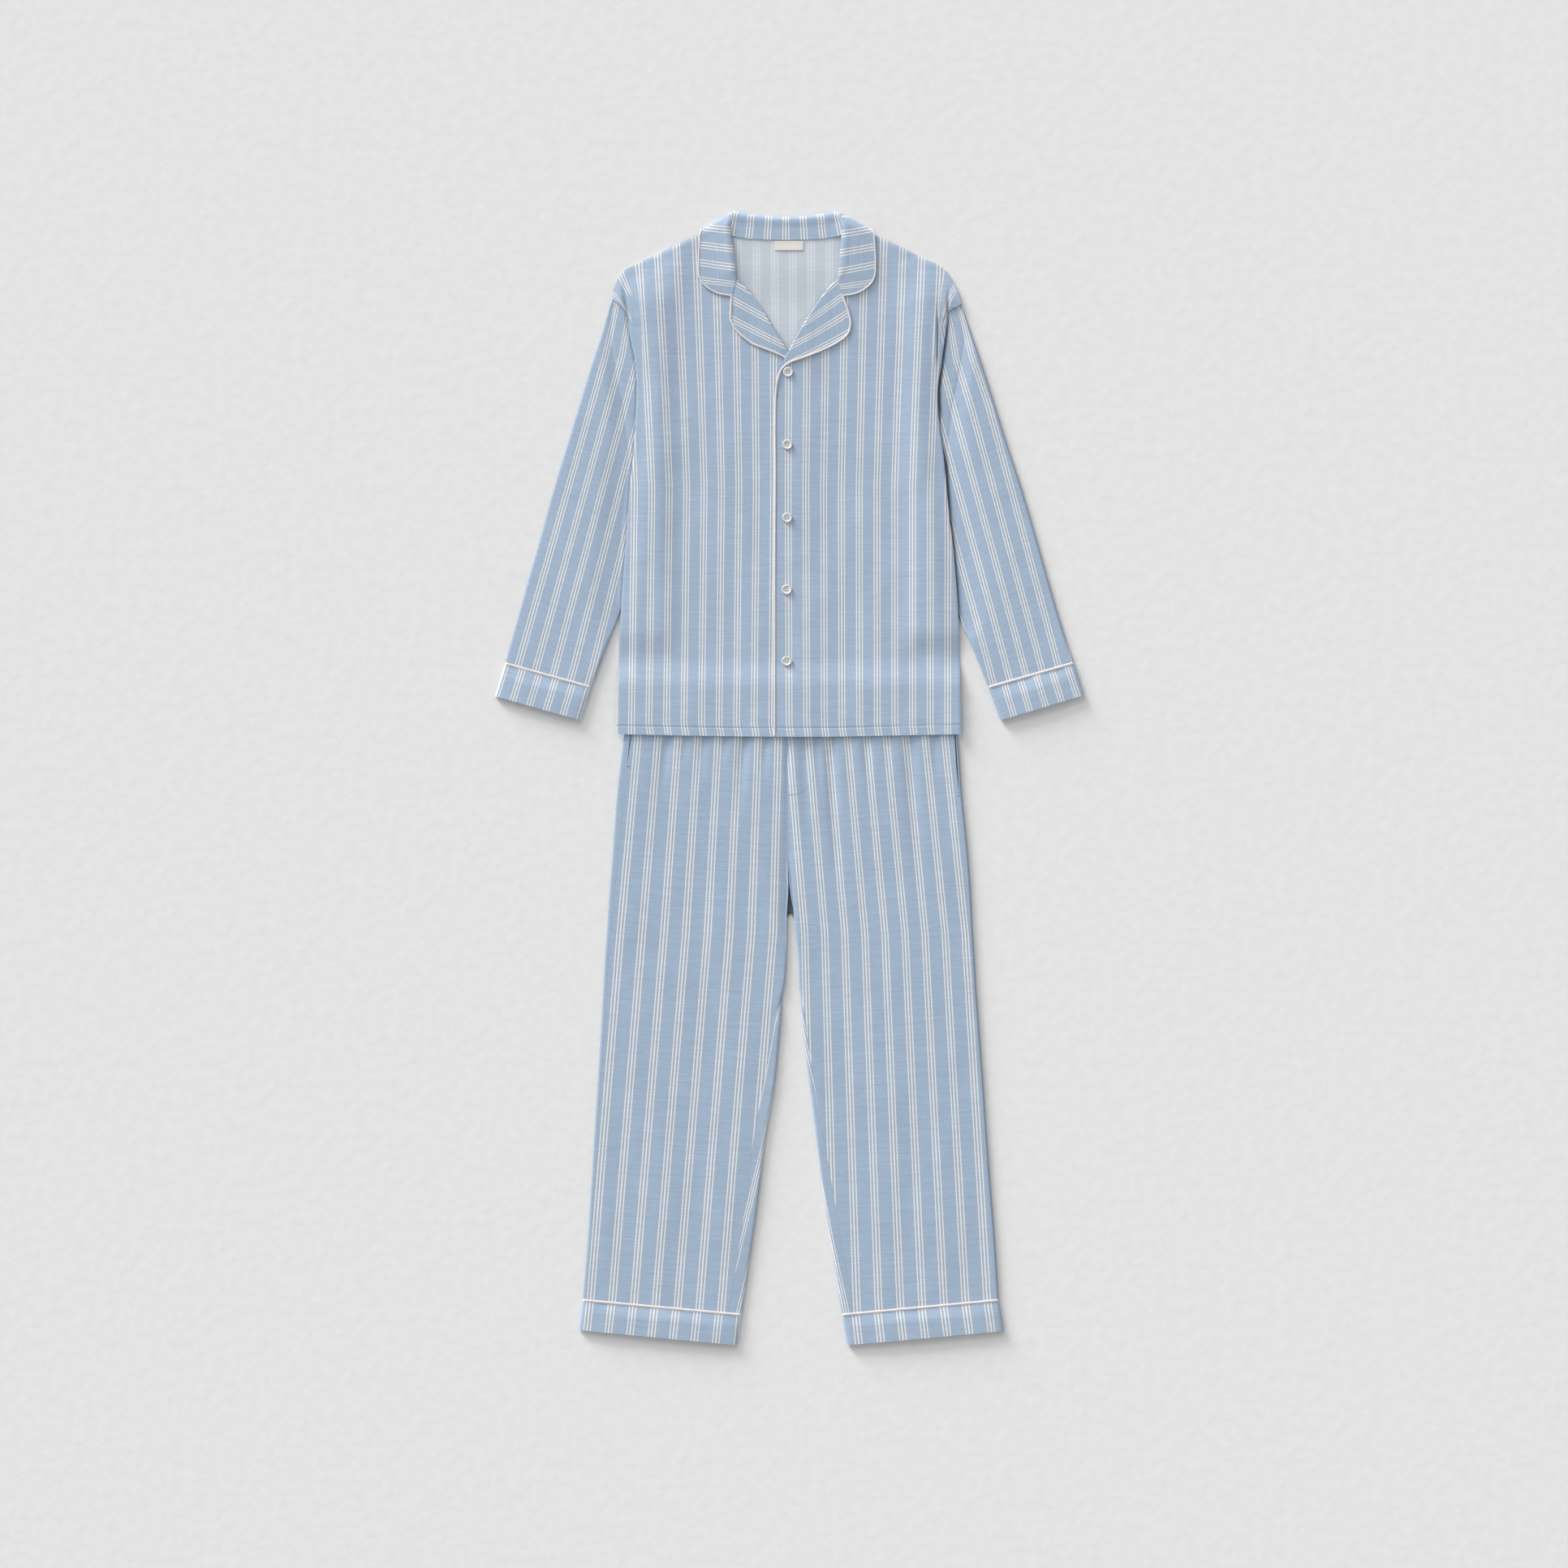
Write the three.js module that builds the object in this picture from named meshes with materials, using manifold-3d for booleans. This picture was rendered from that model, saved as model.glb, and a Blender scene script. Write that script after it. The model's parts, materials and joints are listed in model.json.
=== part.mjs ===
// Men's pyjama set laid flat, face up: the jacket lies over the waist of the trousers.
// Lengths in millimetres. +X runs to the viewer's right, +Y towards the collar, +Z up from the surface.
// Left and right in names are the wearer's, so the right sleeve lies on the side of -X.
import * as THREE from "three";
import { mergeVertices } from "three/addons/utils/BufferGeometryUtils.js";
import Module from "manifold-3d";

const wasm = await Module();
wasm.setup();

// Thickness of the cloth
const CLOTH = 1.2; // a single panel
const TRIM = 1.6; // doubled cloth: collar, lapels, cuffs and leg bands
const SEAM = 0.3; // space between two pieces that are sewn together or lie on each other
const REST = 0.5; // space under a piece that lies on a panel, wide enough for both to be faceted

// Heights of the middle of each layer above the surface
const LOW = CLOTH / 2; // cloth that lies on the surface
const TRIM_LOW = TRIM / 2;
const LEG_TOP = 5.6; // upper layer of the trousers
const SLEEVE_TOP = 5.0; // upper layer of a sleeve
const SLEEVE_PRESSED = 2.7; // upper layer of a sleeve where the jacket's body lies on it
const HEM_TOP = 6.0; // upper layer of the cuffs and leg bands
const OVER_SLEEVE = 4.2; // lift of the jacket's back over the sleeves
const OVER_WAIST = 6.9; // lift of the jacket's back over the waist of the trousers
const OVER_COLLAR = 2.9; // lift of the jacket's back over the collar's fall
const BODY_SIDE = 1.8; // from the back's middle to the front's middle at the side seams
const BODY_PUFF = 2.9; // what the air in the jacket adds to that away from the edges
const LAP = 1.8; // lift of the left front where it laps over the right front

// Trims
const BUTTON = { diameter: 15.3, height: 2.8, rim: 2.4, dish: 0.9, hole: 1.9, holeSpacing: 3.4 };
const EDGE_CORD = 1.6; // radius of the piping down the front edge and on the lapels
const COLLAR_CORD = 1.3; // radius of the piping round the collar
const SEAM_CORD = { width: 3, wall: 2.2 }; // piping ring in the cuff and leg seams
const TAG = { width: 44, height: 14.5, wall: 1 };

// A short table with named columns
const table = (names, rows) =>
  rows.map((row) => Object.fromEntries(names.split(" ").map((name, k) => [name, row[k]])));

// Side seams of the jacket: y, and the x of the edge on the wearer's right and left
const SIDES = table("y right left", [
  [68, -265.5, 264.5],
  [136, -264.5, 263],
  [199, -262, 262],
  [245, -260, 260.5],
  [300, -256.5, 257],
  [357, -252, 252],
  [405, -248.5, 246],
  [449, -245.5, 242],
  [499, -240, 237],
  [536, -237.5, 232],
  [573, -235.5, 228.5],
  [600, -234.5, 228.5],
  [640, -236.5, 234.5],
  [668, -242, 238],
  [692, -247, 241.5],
  [708, -250.5, 243.5],
]);
// The stretch of armhole seam that shows, from the fold beside the sleeve up to the shoulder's end
const ARMHOLE = {
  right: [[-254.5, 721], [-272, 739]],
  left: [[244, 715.5], [264.5, 731]],
};
// Shoulder lines from the armhole to the neck
const SHOULDER = {
  right: [[-272, 739], [-269.5, 755], [-263, 770], [-255.5, 781], [-235.5, 792.5], [-205.5, 806],
    [-172, 822.5], [-145, 834], [-125, 842], [-103, 846]],
  left: [[264.5, 731], [260.5, 746], [254.5, 760], [243, 780], [233, 789], [209.5, 800],
    [165.5, 821], [140, 833], [118, 842], [95, 846]],
};
const HEM = [[-265.5, 68], [-140, 65.5], [-23, 64.3], [60, 64.6], [134, 66.2], [264.5, 69.5]];
const BACK_NECK = [[-87, 834], [-60, 829.6], [-2, 828], [50, 830.6], [78, 834]];
// Neck and front edges of the two fronts, from the hem up to the neck point
const RIGHT_FRONT_EDGE = [[18, 64.3], [18, 350], [18, 600], [10, 636], [-5, 659], [-27, 695], [-50, 729],
  [-68, 753], [-83, 772], [-87, 800], [-91, 825], [-96.5, 845]];
const LEFT_FRONT_EDGE = [[-20.6, 64.3], [-20.6, 255], [-19, 474], [-18.2, 585], [-14, 618], [-4, 645],
  [8, 667], [30, 706], [56, 744], [77, 773], [80, 800], [83, 825], [87, 846]];
// Lapels: the roll edge from the gorge to the break, and the outer edge from the notch to the break
const LAPEL = {
  right: {
    roll: [[-81.2, 768], [-66, 752], [-48, 730], [-26, 693.5], [-4.5, 659]],
    outer: [[-87.4, 742.6], [-88.4, 722], [-88.2, 706], [-84, 696], [-76.5, 687], [-68, 679.5],
      [-58, 672], [-40, 664.5], [-22, 657.5], [-9.5, 651.5]],
  },
  left: {
    roll: [[73.4, 769], [57, 749.5], [41, 727], [27, 705.5], [15.5, 686], [3.5, 664]],
    outer: [[80, 744], [85, 731], [90.2, 716], [92.8, 700], [91, 690], [85, 681], [76, 674.5],
      [62, 666.5], [40, 656.8], [22, 649.8], [9, 645.5], [-1.5, 641.5]],
  },
};
// Left lapel piping runs on down the front edge to the hem
const FRONT_CORD = [[84.8, 737.8], [88, 730], [93.1, 715.5], [95.6, 700], [93, 688], [86.5, 678.7],
  [77, 671.8], [63, 664], [41, 654.2], [23, 647.2], [9.5, 642.7], [-3, 637.5], [-12, 629.5],
  [-17.5, 616], [-20.3, 595], [-21.3, 560], [-21.2, 474], [-22.8, 350], [-22.8, 200], [-22.8, 66]];

// Half of the collar, from the gorge round to the middle of the back. Distances out are from the neck's
// middle line. Roll is the fold line, edge the piped outer edge, and seam the neck seam under the fold.
const COLLAR_MIDDLE = -6.2;
const COLLAR_LEAF = table("rollOut rollY edgeOut edgeY seamOut seamY puff rollShift", [
  [75.6, 768.8, 81.8, 744.5, 80, 769.5, 0.25, 1],
  [76.3, 776.3, 104, 748.6, 83, 777, 0.6, 1],
  [76.9, 785, 122.4, 760, 85, 786, 1, 1],
  [78, 796.3, 130.6, 773.5, 87.5, 797, 1, 1],
  [79.4, 810, 132, 791, 90, 811, 1, 0.9],
  [82, 827.5, 131.3, 813.8, 92, 828, 1, 0.7],
  [84.4, 843.8, 130.2, 830, 93, 840, 1, 0.5],
  [84.4, 857, 129.8, 838.6, 92, 845, 0.9, 0.4],
]);
const COLLAR_BEHIND = table("rollOut rollY rollZ edgeOut edgeY edgeZ seamOut seamY seamZ beforeRoll edgeShift", [
  [83, 871, 6.2, 129, 847, 4.6, 82, 842, 6.2, 7.2, 0.9],
  [78, 872.65, 3.6, 128, 844.6, 0.8, 76, 838.2, 4.6, 5.8, 0.8],
  [64, 871, 2.8, 112, 822, 0.8, 61, 833.6, 3.7, 5.0, 0.4],
  [38, 867, 2.7, 62, 803, 0.8, 38, 831.9, 3.6, 4.8, 0],
  [12, 865, 2.7, 18, 798, 0.8, 12, 830.9, 3.6, 4.8, 0],
]);
const LEFT_LEAF_SPREAD = 5.5; // the left leaf lies this much further out

// Sleeves: a row for each section, from the cuff seam to the armhole, with its outer end, its inner end
// and the width that shows before the jacket's body covers it
const SLEEVE = {
  right: table("outX outY inX inY shown", [
    [-437.8, 176.9, -305.3, 140, 200],
    [-419.4, 242.5, -283.1, 198.8, 200],
    [-400.6, 310, -263.1, 248.8, 158],
    [-380.6, 380, -244.4, 305, 140],
    [-360.6, 452.5, -230.6, 361.3, 132],
    [-340.6, 517.5, -221.9, 417.5, 123],
    [-320.6, 583.8, -216.9, 473.8, 116],
    [-301.9, 643.8, -215.6, 530, 109],
    [-285.6, 693.8, -218.1, 598.8, 80],
    [-272.3, 738.2, -222, 686.5, 16],
  ]),
  left: table("outX outY inX inY shown", [
    [438.1, 177.5, 306.9, 140, 200],
    [418.1, 238.8, 283.1, 198.8, 200],
    [398.1, 307.5, 263.1, 243.8, 156],
    [378.1, 377.5, 244.4, 301.3, 137],
    [356.9, 448.8, 229.4, 358.8, 128],
    [335.6, 513.8, 220.6, 415, 121],
    [315.6, 577.5, 214.4, 471.3, 114],
    [296.9, 636.3, 211.9, 527.5, 108],
    [279.4, 687.5, 214.4, 596.3, 78],
    [264.8, 730.3, 214, 691, 16],
  ]),
};
const CUFF_END = {
  right: { outX: -454.4, outY: 126.3, inX: -321.9, inY: 88.8 },
  left: { outX: 454.4, outY: 127.5, inX: 325.6, inY: 88.8 },
};

// Trouser legs: a row for each section from the waist seam to the leg seam. The back wraps round to the
// front by wrapOut at the side seam and by wrapIn at the inseam. Above the fork the inner end is open.
const LEG = {
  right: table("outX outY inX inY wrapOut wrapIn open", [
    [-250.1, 97.5, -2.5, 97.5, 9, 0, 1],
    [-254.4, 66.3, -2.5, 66.3, 9, 0, 1],
    [-260.5, 17, -2.5, 17, 10, 0, 1],
    [-265.6, -30, -2.5, -30, 11, 0, 1],
    [-269, -73, -2.5, -73, 10, 0, 1],
    [-271.9, -116.3, -2.5, -116.3, 9, 0, 1],
    [-276.9, -176.3, -1.2, -176.3, 7, 0, 0],
    [-283.1, -267.5, -4.4, -270, 5, 0, 0],
    [-286, -322, -8.9, -325, 4.5, 0, 0],
    [-288.3, -360, -12.3, -363, 4.2, 6.5, 0],
    [-291, -408, -16.5, -412, 4.2, 12, 0],
    [-294.4, -461.3, -21.9, -467.5, 4.2, 16.5, 0],
    [-299.8, -546.3, -36.9, -556.3, 4.2, 17.5, 0],
    [-305, -631.3, -47.5, -643.8, 4.2, 18, 0],
    [-310.6, -716.3, -60, -733.8, 4.2, 18.5, 0],
    [-318.1, -803.8, -73.8, -826.3, 4.2, 18.8, 0],
  ]),
  left: table("outX outY inX inY wrapOut wrapIn open", [
    [255.1, 97.5, -2.5, 97.5, 4.5, 0, 1],
    [259.4, 66.3, -2.5, 66.3, 4.5, 0, 1],
    [263, 17, -2.5, 17, 4.5, 0, 1],
    [266.3, -30, -2.5, -30, 4.8, 0, 1],
    [270.8, -73, -2.5, -73, 5, 0, 1],
    [275, -116.3, -2.5, -116.3, 6, 0, 1],
    [279.4, -176.3, 1.8, -176.3, 6, 0, 0],
    [284.4, -266.3, 13.1, -272.5, 4.5, 0, 0],
    [287.5, -320, 16, -325, 4.5, 0, 0],
    [290.5, -360, 18.5, -364, 4.5, 4.6, 0],
    [294, -408, 23.5, -412, 4.5, 5.6, 0],
    [298.1, -461.3, 30.6, -466.3, 4.5, 7, 0],
    [303.8, -546.3, 41.9, -556.3, 4.5, 11, 0],
    [310, -628.8, 53.1, -643.8, 4.5, 15, 0],
    [316.9, -716.3, 66.9, -733.8, 4.5, 16, 0],
    [322.5, -803.8, 81.3, -826.3, 4.5, 17, 0],
  ]),
};
const LEG_END = {
  right: { outX: -324.4, outY: -850, inX: -80.6, inY: -873.4 },
  left: { outX: 330.6, outY: -851.3, inX: 89.4, inY: -873.4 },
};
const WAIST_TOP = 138.8;
const WAIST_SEAM = 97.5;
const WAIST_ENDS = { right: -244.4, left: 249.4 };
const CENTRE_SEAM = -2.5;

// Soft gathers that the elastic waist leaves in the trouser fronts: x at the jacket's hem, x and y where
// the gather dies out, its depth and its half width
const GATHERS = table("x footX footY depth width", [
  [-188, -197, -40, 1.3, 12],
  [-133, -140, -30, 1.1, 12],
  [-69, -82, -90, 1.7, 12],
  [-36, -42, -20, 1.1, 11],
  [22, 30, -150, 1.1, 12],
  [62, 76, -200, 1.8, 12],
  [118, 126, -60, 1.5, 12],
  [184, 204, -220, 1.8, 13],
  [222, 229, -20, 1.1, 11],
]);
const GATHER_HEAD = 66;

// Pocket mouth in each side seam, and the bag behind it: the outline's corners run round the bag
const POCKET = { top: WAIST_SEAM, foot: -25, gape: 1.9, floor: 1.6 };
const POCKET_BAG = {
  right: [[-244, 90], [-256, -20], [-262, -78], [-225, -104], [-165, -96], [-146, -40], [-142, 90]],
  left: [[249, 90], [257, -20], [262, -78], [226, -104], [166, -96], [148, -40], [144, 90]],
};

// Geometry helpers

const rise = (value, from, to) => THREE.MathUtils.smoothstep(value, from, to);
const mix = THREE.MathUtils.lerp;

// The value of a column at a height y, between the rows of a table that runs up in y
function atHeight(rows, column, y) {
  if (y <= rows[0].y) return rows[0][column];
  for (let k = 1; k < rows.length; k += 1) {
    const low = rows[k - 1];
    const high = rows[k];
    if (y <= high.y) return mix(low[column], high[column], (y - low.y) / (high.y - low.y));
  }
  return rows.at(-1)[column];
}

// A smooth line through plan points, read by its share of length from 0 to 1
function line(points) {
  const curve = new THREE.CatmullRomCurve3(
    points.map(([x, y]) => new THREE.Vector3(x, y, 0)),
    false,
    "centripetal",
  );
  return (share) => curve.getPointAt(share);
}

// Plan points of a panel that fills the space between four edge lines
function panel(edges, across, up) {
  const { left, right, bottom, top } = edges;
  const corner = { bl: bottom(0), br: bottom(1), tl: top(0), tr: top(1) };
  return up.map((v) =>
    across.map((u) => {
      const point = bottom(u).multiplyScalar(1 - v).addScaledVector(top(u), v);
      point.addScaledVector(left(v), 1 - u).addScaledVector(right(v), u);
      point.addScaledVector(corner.bl, -(1 - u) * (1 - v)).addScaledVector(corner.br, -u * (1 - v));
      return point.addScaledVector(corner.tl, -(1 - u) * v).addScaledVector(corner.tr, -u * v);
    }),
  );
}

// Sets the height of every point of a grid from its place in plan
function raise(grid, height) {
  grid.flat().forEach((point) => {
    point.z = height(point.x, point.y);
  });
  return grid;
}

const steps = (count, from = 0, to = 1) =>
  Array.from({ length: count + 1 }, (_, k) => mix(from, to, k / count));

// A closed wall of even thickness about a grid of points on the middle of the cloth. In a tube the
// last column joins the first.
function wall(grid, thickness, tube = false) {
  const rows = grid.length;
  const count = grid[0].length;
  const wrap = (j) => (tube ? (j + count) % count : THREE.MathUtils.clamp(j, 0, count - 1));
  const at = (i, j) => grid[THREE.MathUtils.clamp(i, 0, rows - 1)][wrap(j)];
  const positions = [];
  for (const side of [1, -1]) {
    for (let i = 0; i < rows; i += 1) {
      for (let j = 0; j < count; j += 1) {
        const along = at(i + 1, j).clone().sub(at(i - 1, j));
        const over = at(i, j + 1).clone().sub(at(i, j - 1));
        const normal = over.cross(along).normalize();
        positions.push(...at(i, j).clone().addScaledVector(normal, (side * thickness) / 2));
      }
    }
  }
  const face = (i, j) => i * count + wrap(j);
  const lining = (i, j) => rows * count + face(i, j);
  const index = [];
  const quad = (a, b, c, d) => index.push(a, b, c, a, c, d);
  for (let i = 0; i < rows - 1; i += 1) {
    for (let j = 0; j < (tube ? count : count - 1); j += 1) {
      quad(face(i, j), face(i, j + 1), face(i + 1, j + 1), face(i + 1, j));
      quad(lining(i, j), lining(i + 1, j), lining(i + 1, j + 1), lining(i, j + 1));
    }
    if (!tube) {
      const last = count - 1;
      quad(face(i, 0), face(i + 1, 0), lining(i + 1, 0), lining(i, 0));
      quad(face(i, last), lining(i, last), lining(i + 1, last), face(i + 1, last));
    }
  }
  for (let j = 0; j < (tube ? count : count - 1); j += 1) {
    const last = rows - 1;
    quad(face(0, j), lining(0, j), lining(0, j + 1), face(0, j + 1));
    quad(face(last, j), face(last, j + 1), lining(last, j + 1), lining(last, j));
  }
  const geometry = new THREE.BufferGeometry();
  geometry.setAttribute("position", new THREE.Float32BufferAttribute(positions, 3));
  geometry.setIndex(volume(positions, index) < 0 ? index.reverse() : index);
  geometry.computeVertexNormals();
  return geometry;
}

// Signed volume of a closed mesh: below zero where its faces point in
function volume(positions, index) {
  const point = (k) => new THREE.Vector3().fromArray(positions, 3 * index[k]);
  let sum = 0;
  for (let k = 0; k < index.length; k += 3) {
    sum += point(k).dot(point(k + 1).cross(point(k + 2)));
  }
  return sum / 6;
}

// Plan direction and width of a section between its outer and its inner end
function span({ outX, outY, inX, inY }) {
  const start = new THREE.Vector3(outX, outY, 0);
  const across = new THREE.Vector3(inX, inY, 0).sub(start);
  const width = across.length();
  return { width, place: (a, z) => start.clone().addScaledVector(across, a / width).setZ(z) };
}

// The section at a step between two rows of a table, and one moved a distance along towards another
function between(from, to, share) {
  return Object.fromEntries(Object.keys(from).map((key) => [key, mix(from[key], to[key], share)]));
}
function towards(from, to, distance) {
  return between(from, { ...from, ...to }, distance / Math.hypot(to.outX - from.outX, to.outY - from.outY));
}

// One flattened ring of cloth: flat underneath, a half round turn at each end, and the height top(a)
// above. Half of the wall's thickness is kept inside the section's two ends.
function ring(section, thickness, low, top, bottomSteps, topSteps) {
  const { width, place } = span(section);
  const outer = thickness / 2;
  const inner = width - thickness / 2;
  const outerTurn = (top(outer) - low) / 2;
  const innerTurn = (top(inner) - low) / 2;
  const turned = Math.SQRT1_2;
  const points = [
    [outer, low + outerTurn],
    [outer + outerTurn * (1 - turned), low + outerTurn * (1 - turned)],
    ...steps(bottomSteps, outer + outerTurn, inner - innerTurn).map((a) => [a, low]),
    [inner - innerTurn * (1 - turned), low + innerTurn * (1 - turned)],
    [inner, low + innerTurn],
    [inner - innerTurn * (1 - turned), low + innerTurn * (1 + turned)],
    ...steps(topSteps, inner - innerTurn, outer + outerTurn).map((a) => [a, top(a)]),
    [outer + outerTurn * (1 - turned), low + outerTurn * (1 + turned)],
  ];
  return points.map(([a, z]) => place(a, z));
}

// A round cord along a route of points
function cord(points, radius, count, sides = 6) {
  const circle = new THREE.Shape();
  for (let k = 0; k < sides; k += 1) {
    const angle = (2 * Math.PI * k) / sides;
    const place = [radius * Math.cos(angle), radius * Math.sin(angle)];
    if (k === 0) circle.moveTo(...place);
    else circle.lineTo(...place);
  }
  const route = new THREE.CatmullRomCurve3(points, false, "catmullrom", 0); // straight between points
  return new THREE.ExtrudeGeometry(circle, { steps: count, bevelEnabled: false, extrudePath: route });
}

// How the layers lie on each other

// Shares of the lifts that the sleeves, the waist and the collar's fall give to the jacket's body
const overSleeve = (x, y) => rise(Math.abs(x), 165, 203) * rise(y, 185, 230) * (1 - rise(y, 732, 786));
const overWaist = (y) => 1 - rise(y, WAIST_TOP, WAIST_TOP + 46);
const nearNeck = (x) => 1 - rise(Math.abs(x), 160, 205);
const bodyLift = (x, y) => OVER_SLEEVE * overSleeve(x, y) + OVER_WAIST * overWaist(y);
const backHeight = (x, y) => LOW + bodyLift(x, y) + OVER_COLLAR * nearNeck(x) * rise(y, 725, 790);

// The right front lies over the back with air between them. It dies out at the edges and over the
// waist, and near the neck the lift of the back takes its place.
function rightFrontHeight(x, y) {
  const fromSide = x < 0 ? x - atHeight(SIDES, "right", y) : atHeight(SIDES, "left", y) - x;
  const belowShoulder = 850 - 0.483 * (Math.abs(x) - 112) - y;
  const inside = rise(fromSide, 0, 34) * (1 - overWaist(y));
  const air = inside * Math.max(rise(belowShoulder, -6, 38), nearNeck(x));
  return LOW + bodyLift(x, y) + BODY_SIDE + BODY_PUFF * air;
}

// The left front is lifted where it laps over the right front
const leftFrontHeight = (x, y) => rightFrontHeight(x, y) + LAP * (1 - rise(x, 22, 74));

// Jacket body

const sideLine = (side) => line([...SIDES.map((row) => [row[side], row.y]), ...ARMHOLE[side]]);
const SIDE_FOOT = SIDES[0].y;
const SIDE_HEAD = ARMHOLE.right[1][1];
const bodyRows = [68, 102, 138, 151, 162, 173, 185, 208, 230, 285, 345, 410, 470, 530, 585, 618, 650, 680, 708, 728, SIDE_HEAD];
const up = bodyRows.map((y) => (y - SIDE_FOOT) / (SIDE_HEAD - SIDE_FOOT));

function hemLine(fromX, toX) {
  const hem = line(HEM);
  const share = (x) => {
    let [low, high] = [0, 1];
    for (let k = 0; k < 30; k += 1) {
      const middle = (low + high) / 2;
      if (hem(middle).x < x) low = middle;
      else high = middle;
    }
    return low;
  };
  const [from, to] = [share(fromX), share(toX)];
  return (u) => hem(mix(from, to, u));
}

function jacketBack() {
  const edges = {
    left: sideLine("right"),
    right: sideLine("left"),
    bottom: line(HEM),
    top: line([...SHOULDER.right, ...BACK_NECK, ...SHOULDER.left.toReversed()]),
  };
  const across = [0, 0.019, 0.043, 0.075, 0.122, 0.17, 0.218, 0.265, 0.306, 0.4, 0.5,
    0.6, 0.694, 0.735, 0.782, 0.83, 0.878, 0.925, 0.957, 0.981, 1];
  return wall(raise(panel(edges, across, up), backHeight), CLOTH);
}

function jacketFrontRight() {
  const edges = {
    left: sideLine("right"),
    right: line(RIGHT_FRONT_EDGE),
    bottom: hemLine(HEM[0][0], RIGHT_FRONT_EDGE[0][0]),
    top: line([...SHOULDER.right, RIGHT_FRONT_EDGE.at(-1)]),
  };
  const across = [0, 0.055, 0.125, 0.22, 0.36, 0.5, 0.64, 0.78, 0.9, 1];
  return wall(raise(panel(edges, across, up), rightFrontHeight), CLOTH);
}

function jacketFrontLeft() {
  const edges = {
    left: line(LEFT_FRONT_EDGE),
    right: sideLine("left"),
    bottom: hemLine(LEFT_FRONT_EDGE[0][0], HEM.at(-1)[0]),
    top: line([LEFT_FRONT_EDGE.at(-1), ...SHOULDER.left.toReversed()]),
  };
  const across = [0, 0.08, 0.16, 0.25, 0.37, 0.5, 0.64, 0.78, 0.875, 0.945, 1];
  return wall(raise(panel(edges, across, up), leftFrontHeight), CLOTH);
}

// Collar, lapels, tag and their piping

const TRIM_REST = CLOTH / 2 + REST + TRIM / 2; // from a front's middle to the middle of doubled cloth on it
const LEAF_RISE = 2.5; // how far the leaf stands up at the roll line, over the collar's own turned-in part

// The collar across one section of a leaf, from the neck seam round the roll line to the outer edge
function leafSection(row, side) {
  const spread = side === "left" ? LEFT_LEAF_SPREAD : 0;
  const sign = side === "left" ? 1 : -1;
  const front = side === "left" ? leftFrontHeight : rightFrontHeight;
  const plan = (out, y, height) => {
    const x = COLLAR_MIDDLE + sign * out;
    return new THREE.Vector3(x, y, front(x, y) + TRIM_REST + height * row.puff);
  };
  const seam = [row.seamOut + spread * row.rollShift, row.seamY];
  const roll = [row.rollOut + spread * row.rollShift, row.rollY];
  const edge = [row.edgeOut + spread, row.edgeY];
  const on = (from, to, share, height) =>
    plan(mix(from[0], to[0], share), mix(from[1], to[1], share), height);
  return [
    on(seam, roll, 0, 0),
    on(seam, roll, 0.5, 0),
    on(seam, roll, 0.9, 0),
    on(roll, edge, 0, LEAF_RISE / 2),
    on(roll, edge, 0.05, LEAF_RISE),
    on(roll, edge, 0.3, LEAF_RISE * 0.9),
    on(roll, edge, 0.55, LEAF_RISE * 0.45),
    on(roll, edge, 0.8, LEAF_RISE * 0.12),
    on(roll, edge, 1, 0),
  ];
}

// The collar across one section behind the neck: up from the neck seam, over the roll and under the back
function behindSection(row, side) {
  const spread = side === "left" ? LEFT_LEAF_SPREAD : 0;
  const sign = side === "left" ? 1 : -1;
  const on = (from, to, share, z) => {
    const x = COLLAR_MIDDLE + sign * mix(from[0], to[0], share);
    return new THREE.Vector3(x, mix(from[1], to[1], share), z);
  };
  const seam = [row.seamOut, row.seamY];
  const roll = [row.rollOut, row.rollY];
  const edge = [row.edgeOut + spread * row.edgeShift, row.edgeY];
  const falling = (share) => mix(row.rollZ - 1.9, row.edgeZ, share);
  const afterRoll = (share) => Math.max(falling(share), row.edgeZ);
  return [
    on(seam, roll, 0, row.seamZ),
    on(seam, roll, 0.5, mix(row.seamZ, row.beforeRoll, 0.6)),
    on(seam, roll, 0.94, row.beforeRoll),
    on(roll, edge, 0, row.rollZ),
    on(roll, edge, 0.05, afterRoll(0.05)),
    on(roll, edge, 0.3, afterRoll(0.3)),
    on(roll, edge, 0.55, afterRoll(0.55)),
    on(roll, edge, 0.8, afterRoll(0.8)),
    on(roll, edge, 1, row.edgeZ),
  ];
}

function collarSections() {
  const half = (side) => [
    ...COLLAR_LEAF.map((row) => leafSection(row, side)),
    ...COLLAR_BEHIND.map((row) => behindSection(row, side)),
  ];
  return [...half("right"), ...half("left").toReversed()];
}

const collar = () => wall(collarSections(), TRIM);

// The collar's piping lies just outside its outer edge and goes round under the back with it
function collarPiping() {
  const edge = collarSections().map((section) => [section.at(-2), section.at(-1)]);
  const places = edge.map(([inside, end], k) => {
    const [before, after] = [edge[Math.max(k - 1, 0)], edge[Math.min(k + 1, edge.length - 1)]];
    const steep = Math.abs(after[1].z - before[1].z) > 2; // where the edge goes round the shoulder
    const clear = COLLAR_CORD + 3 * SEAM + (steep ? TRIM / 2 : 0);
    const away = end.clone().sub(inside).setZ(0).normalize();
    return end.clone().addScaledVector(away, clear).setZ(end.z + COLLAR_CORD - TRIM / 2 + 0.05);
  });
  const curve = new THREE.CatmullRomCurve3(places, false, "centripetal");
  const route = curve.getSpacedPoints(70).map(({ x, y, z }) => new THREE.Vector3(x, y, Math.max(z, COLLAR_CORD)));
  return cord(route, COLLAR_CORD, 56);
}

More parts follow.
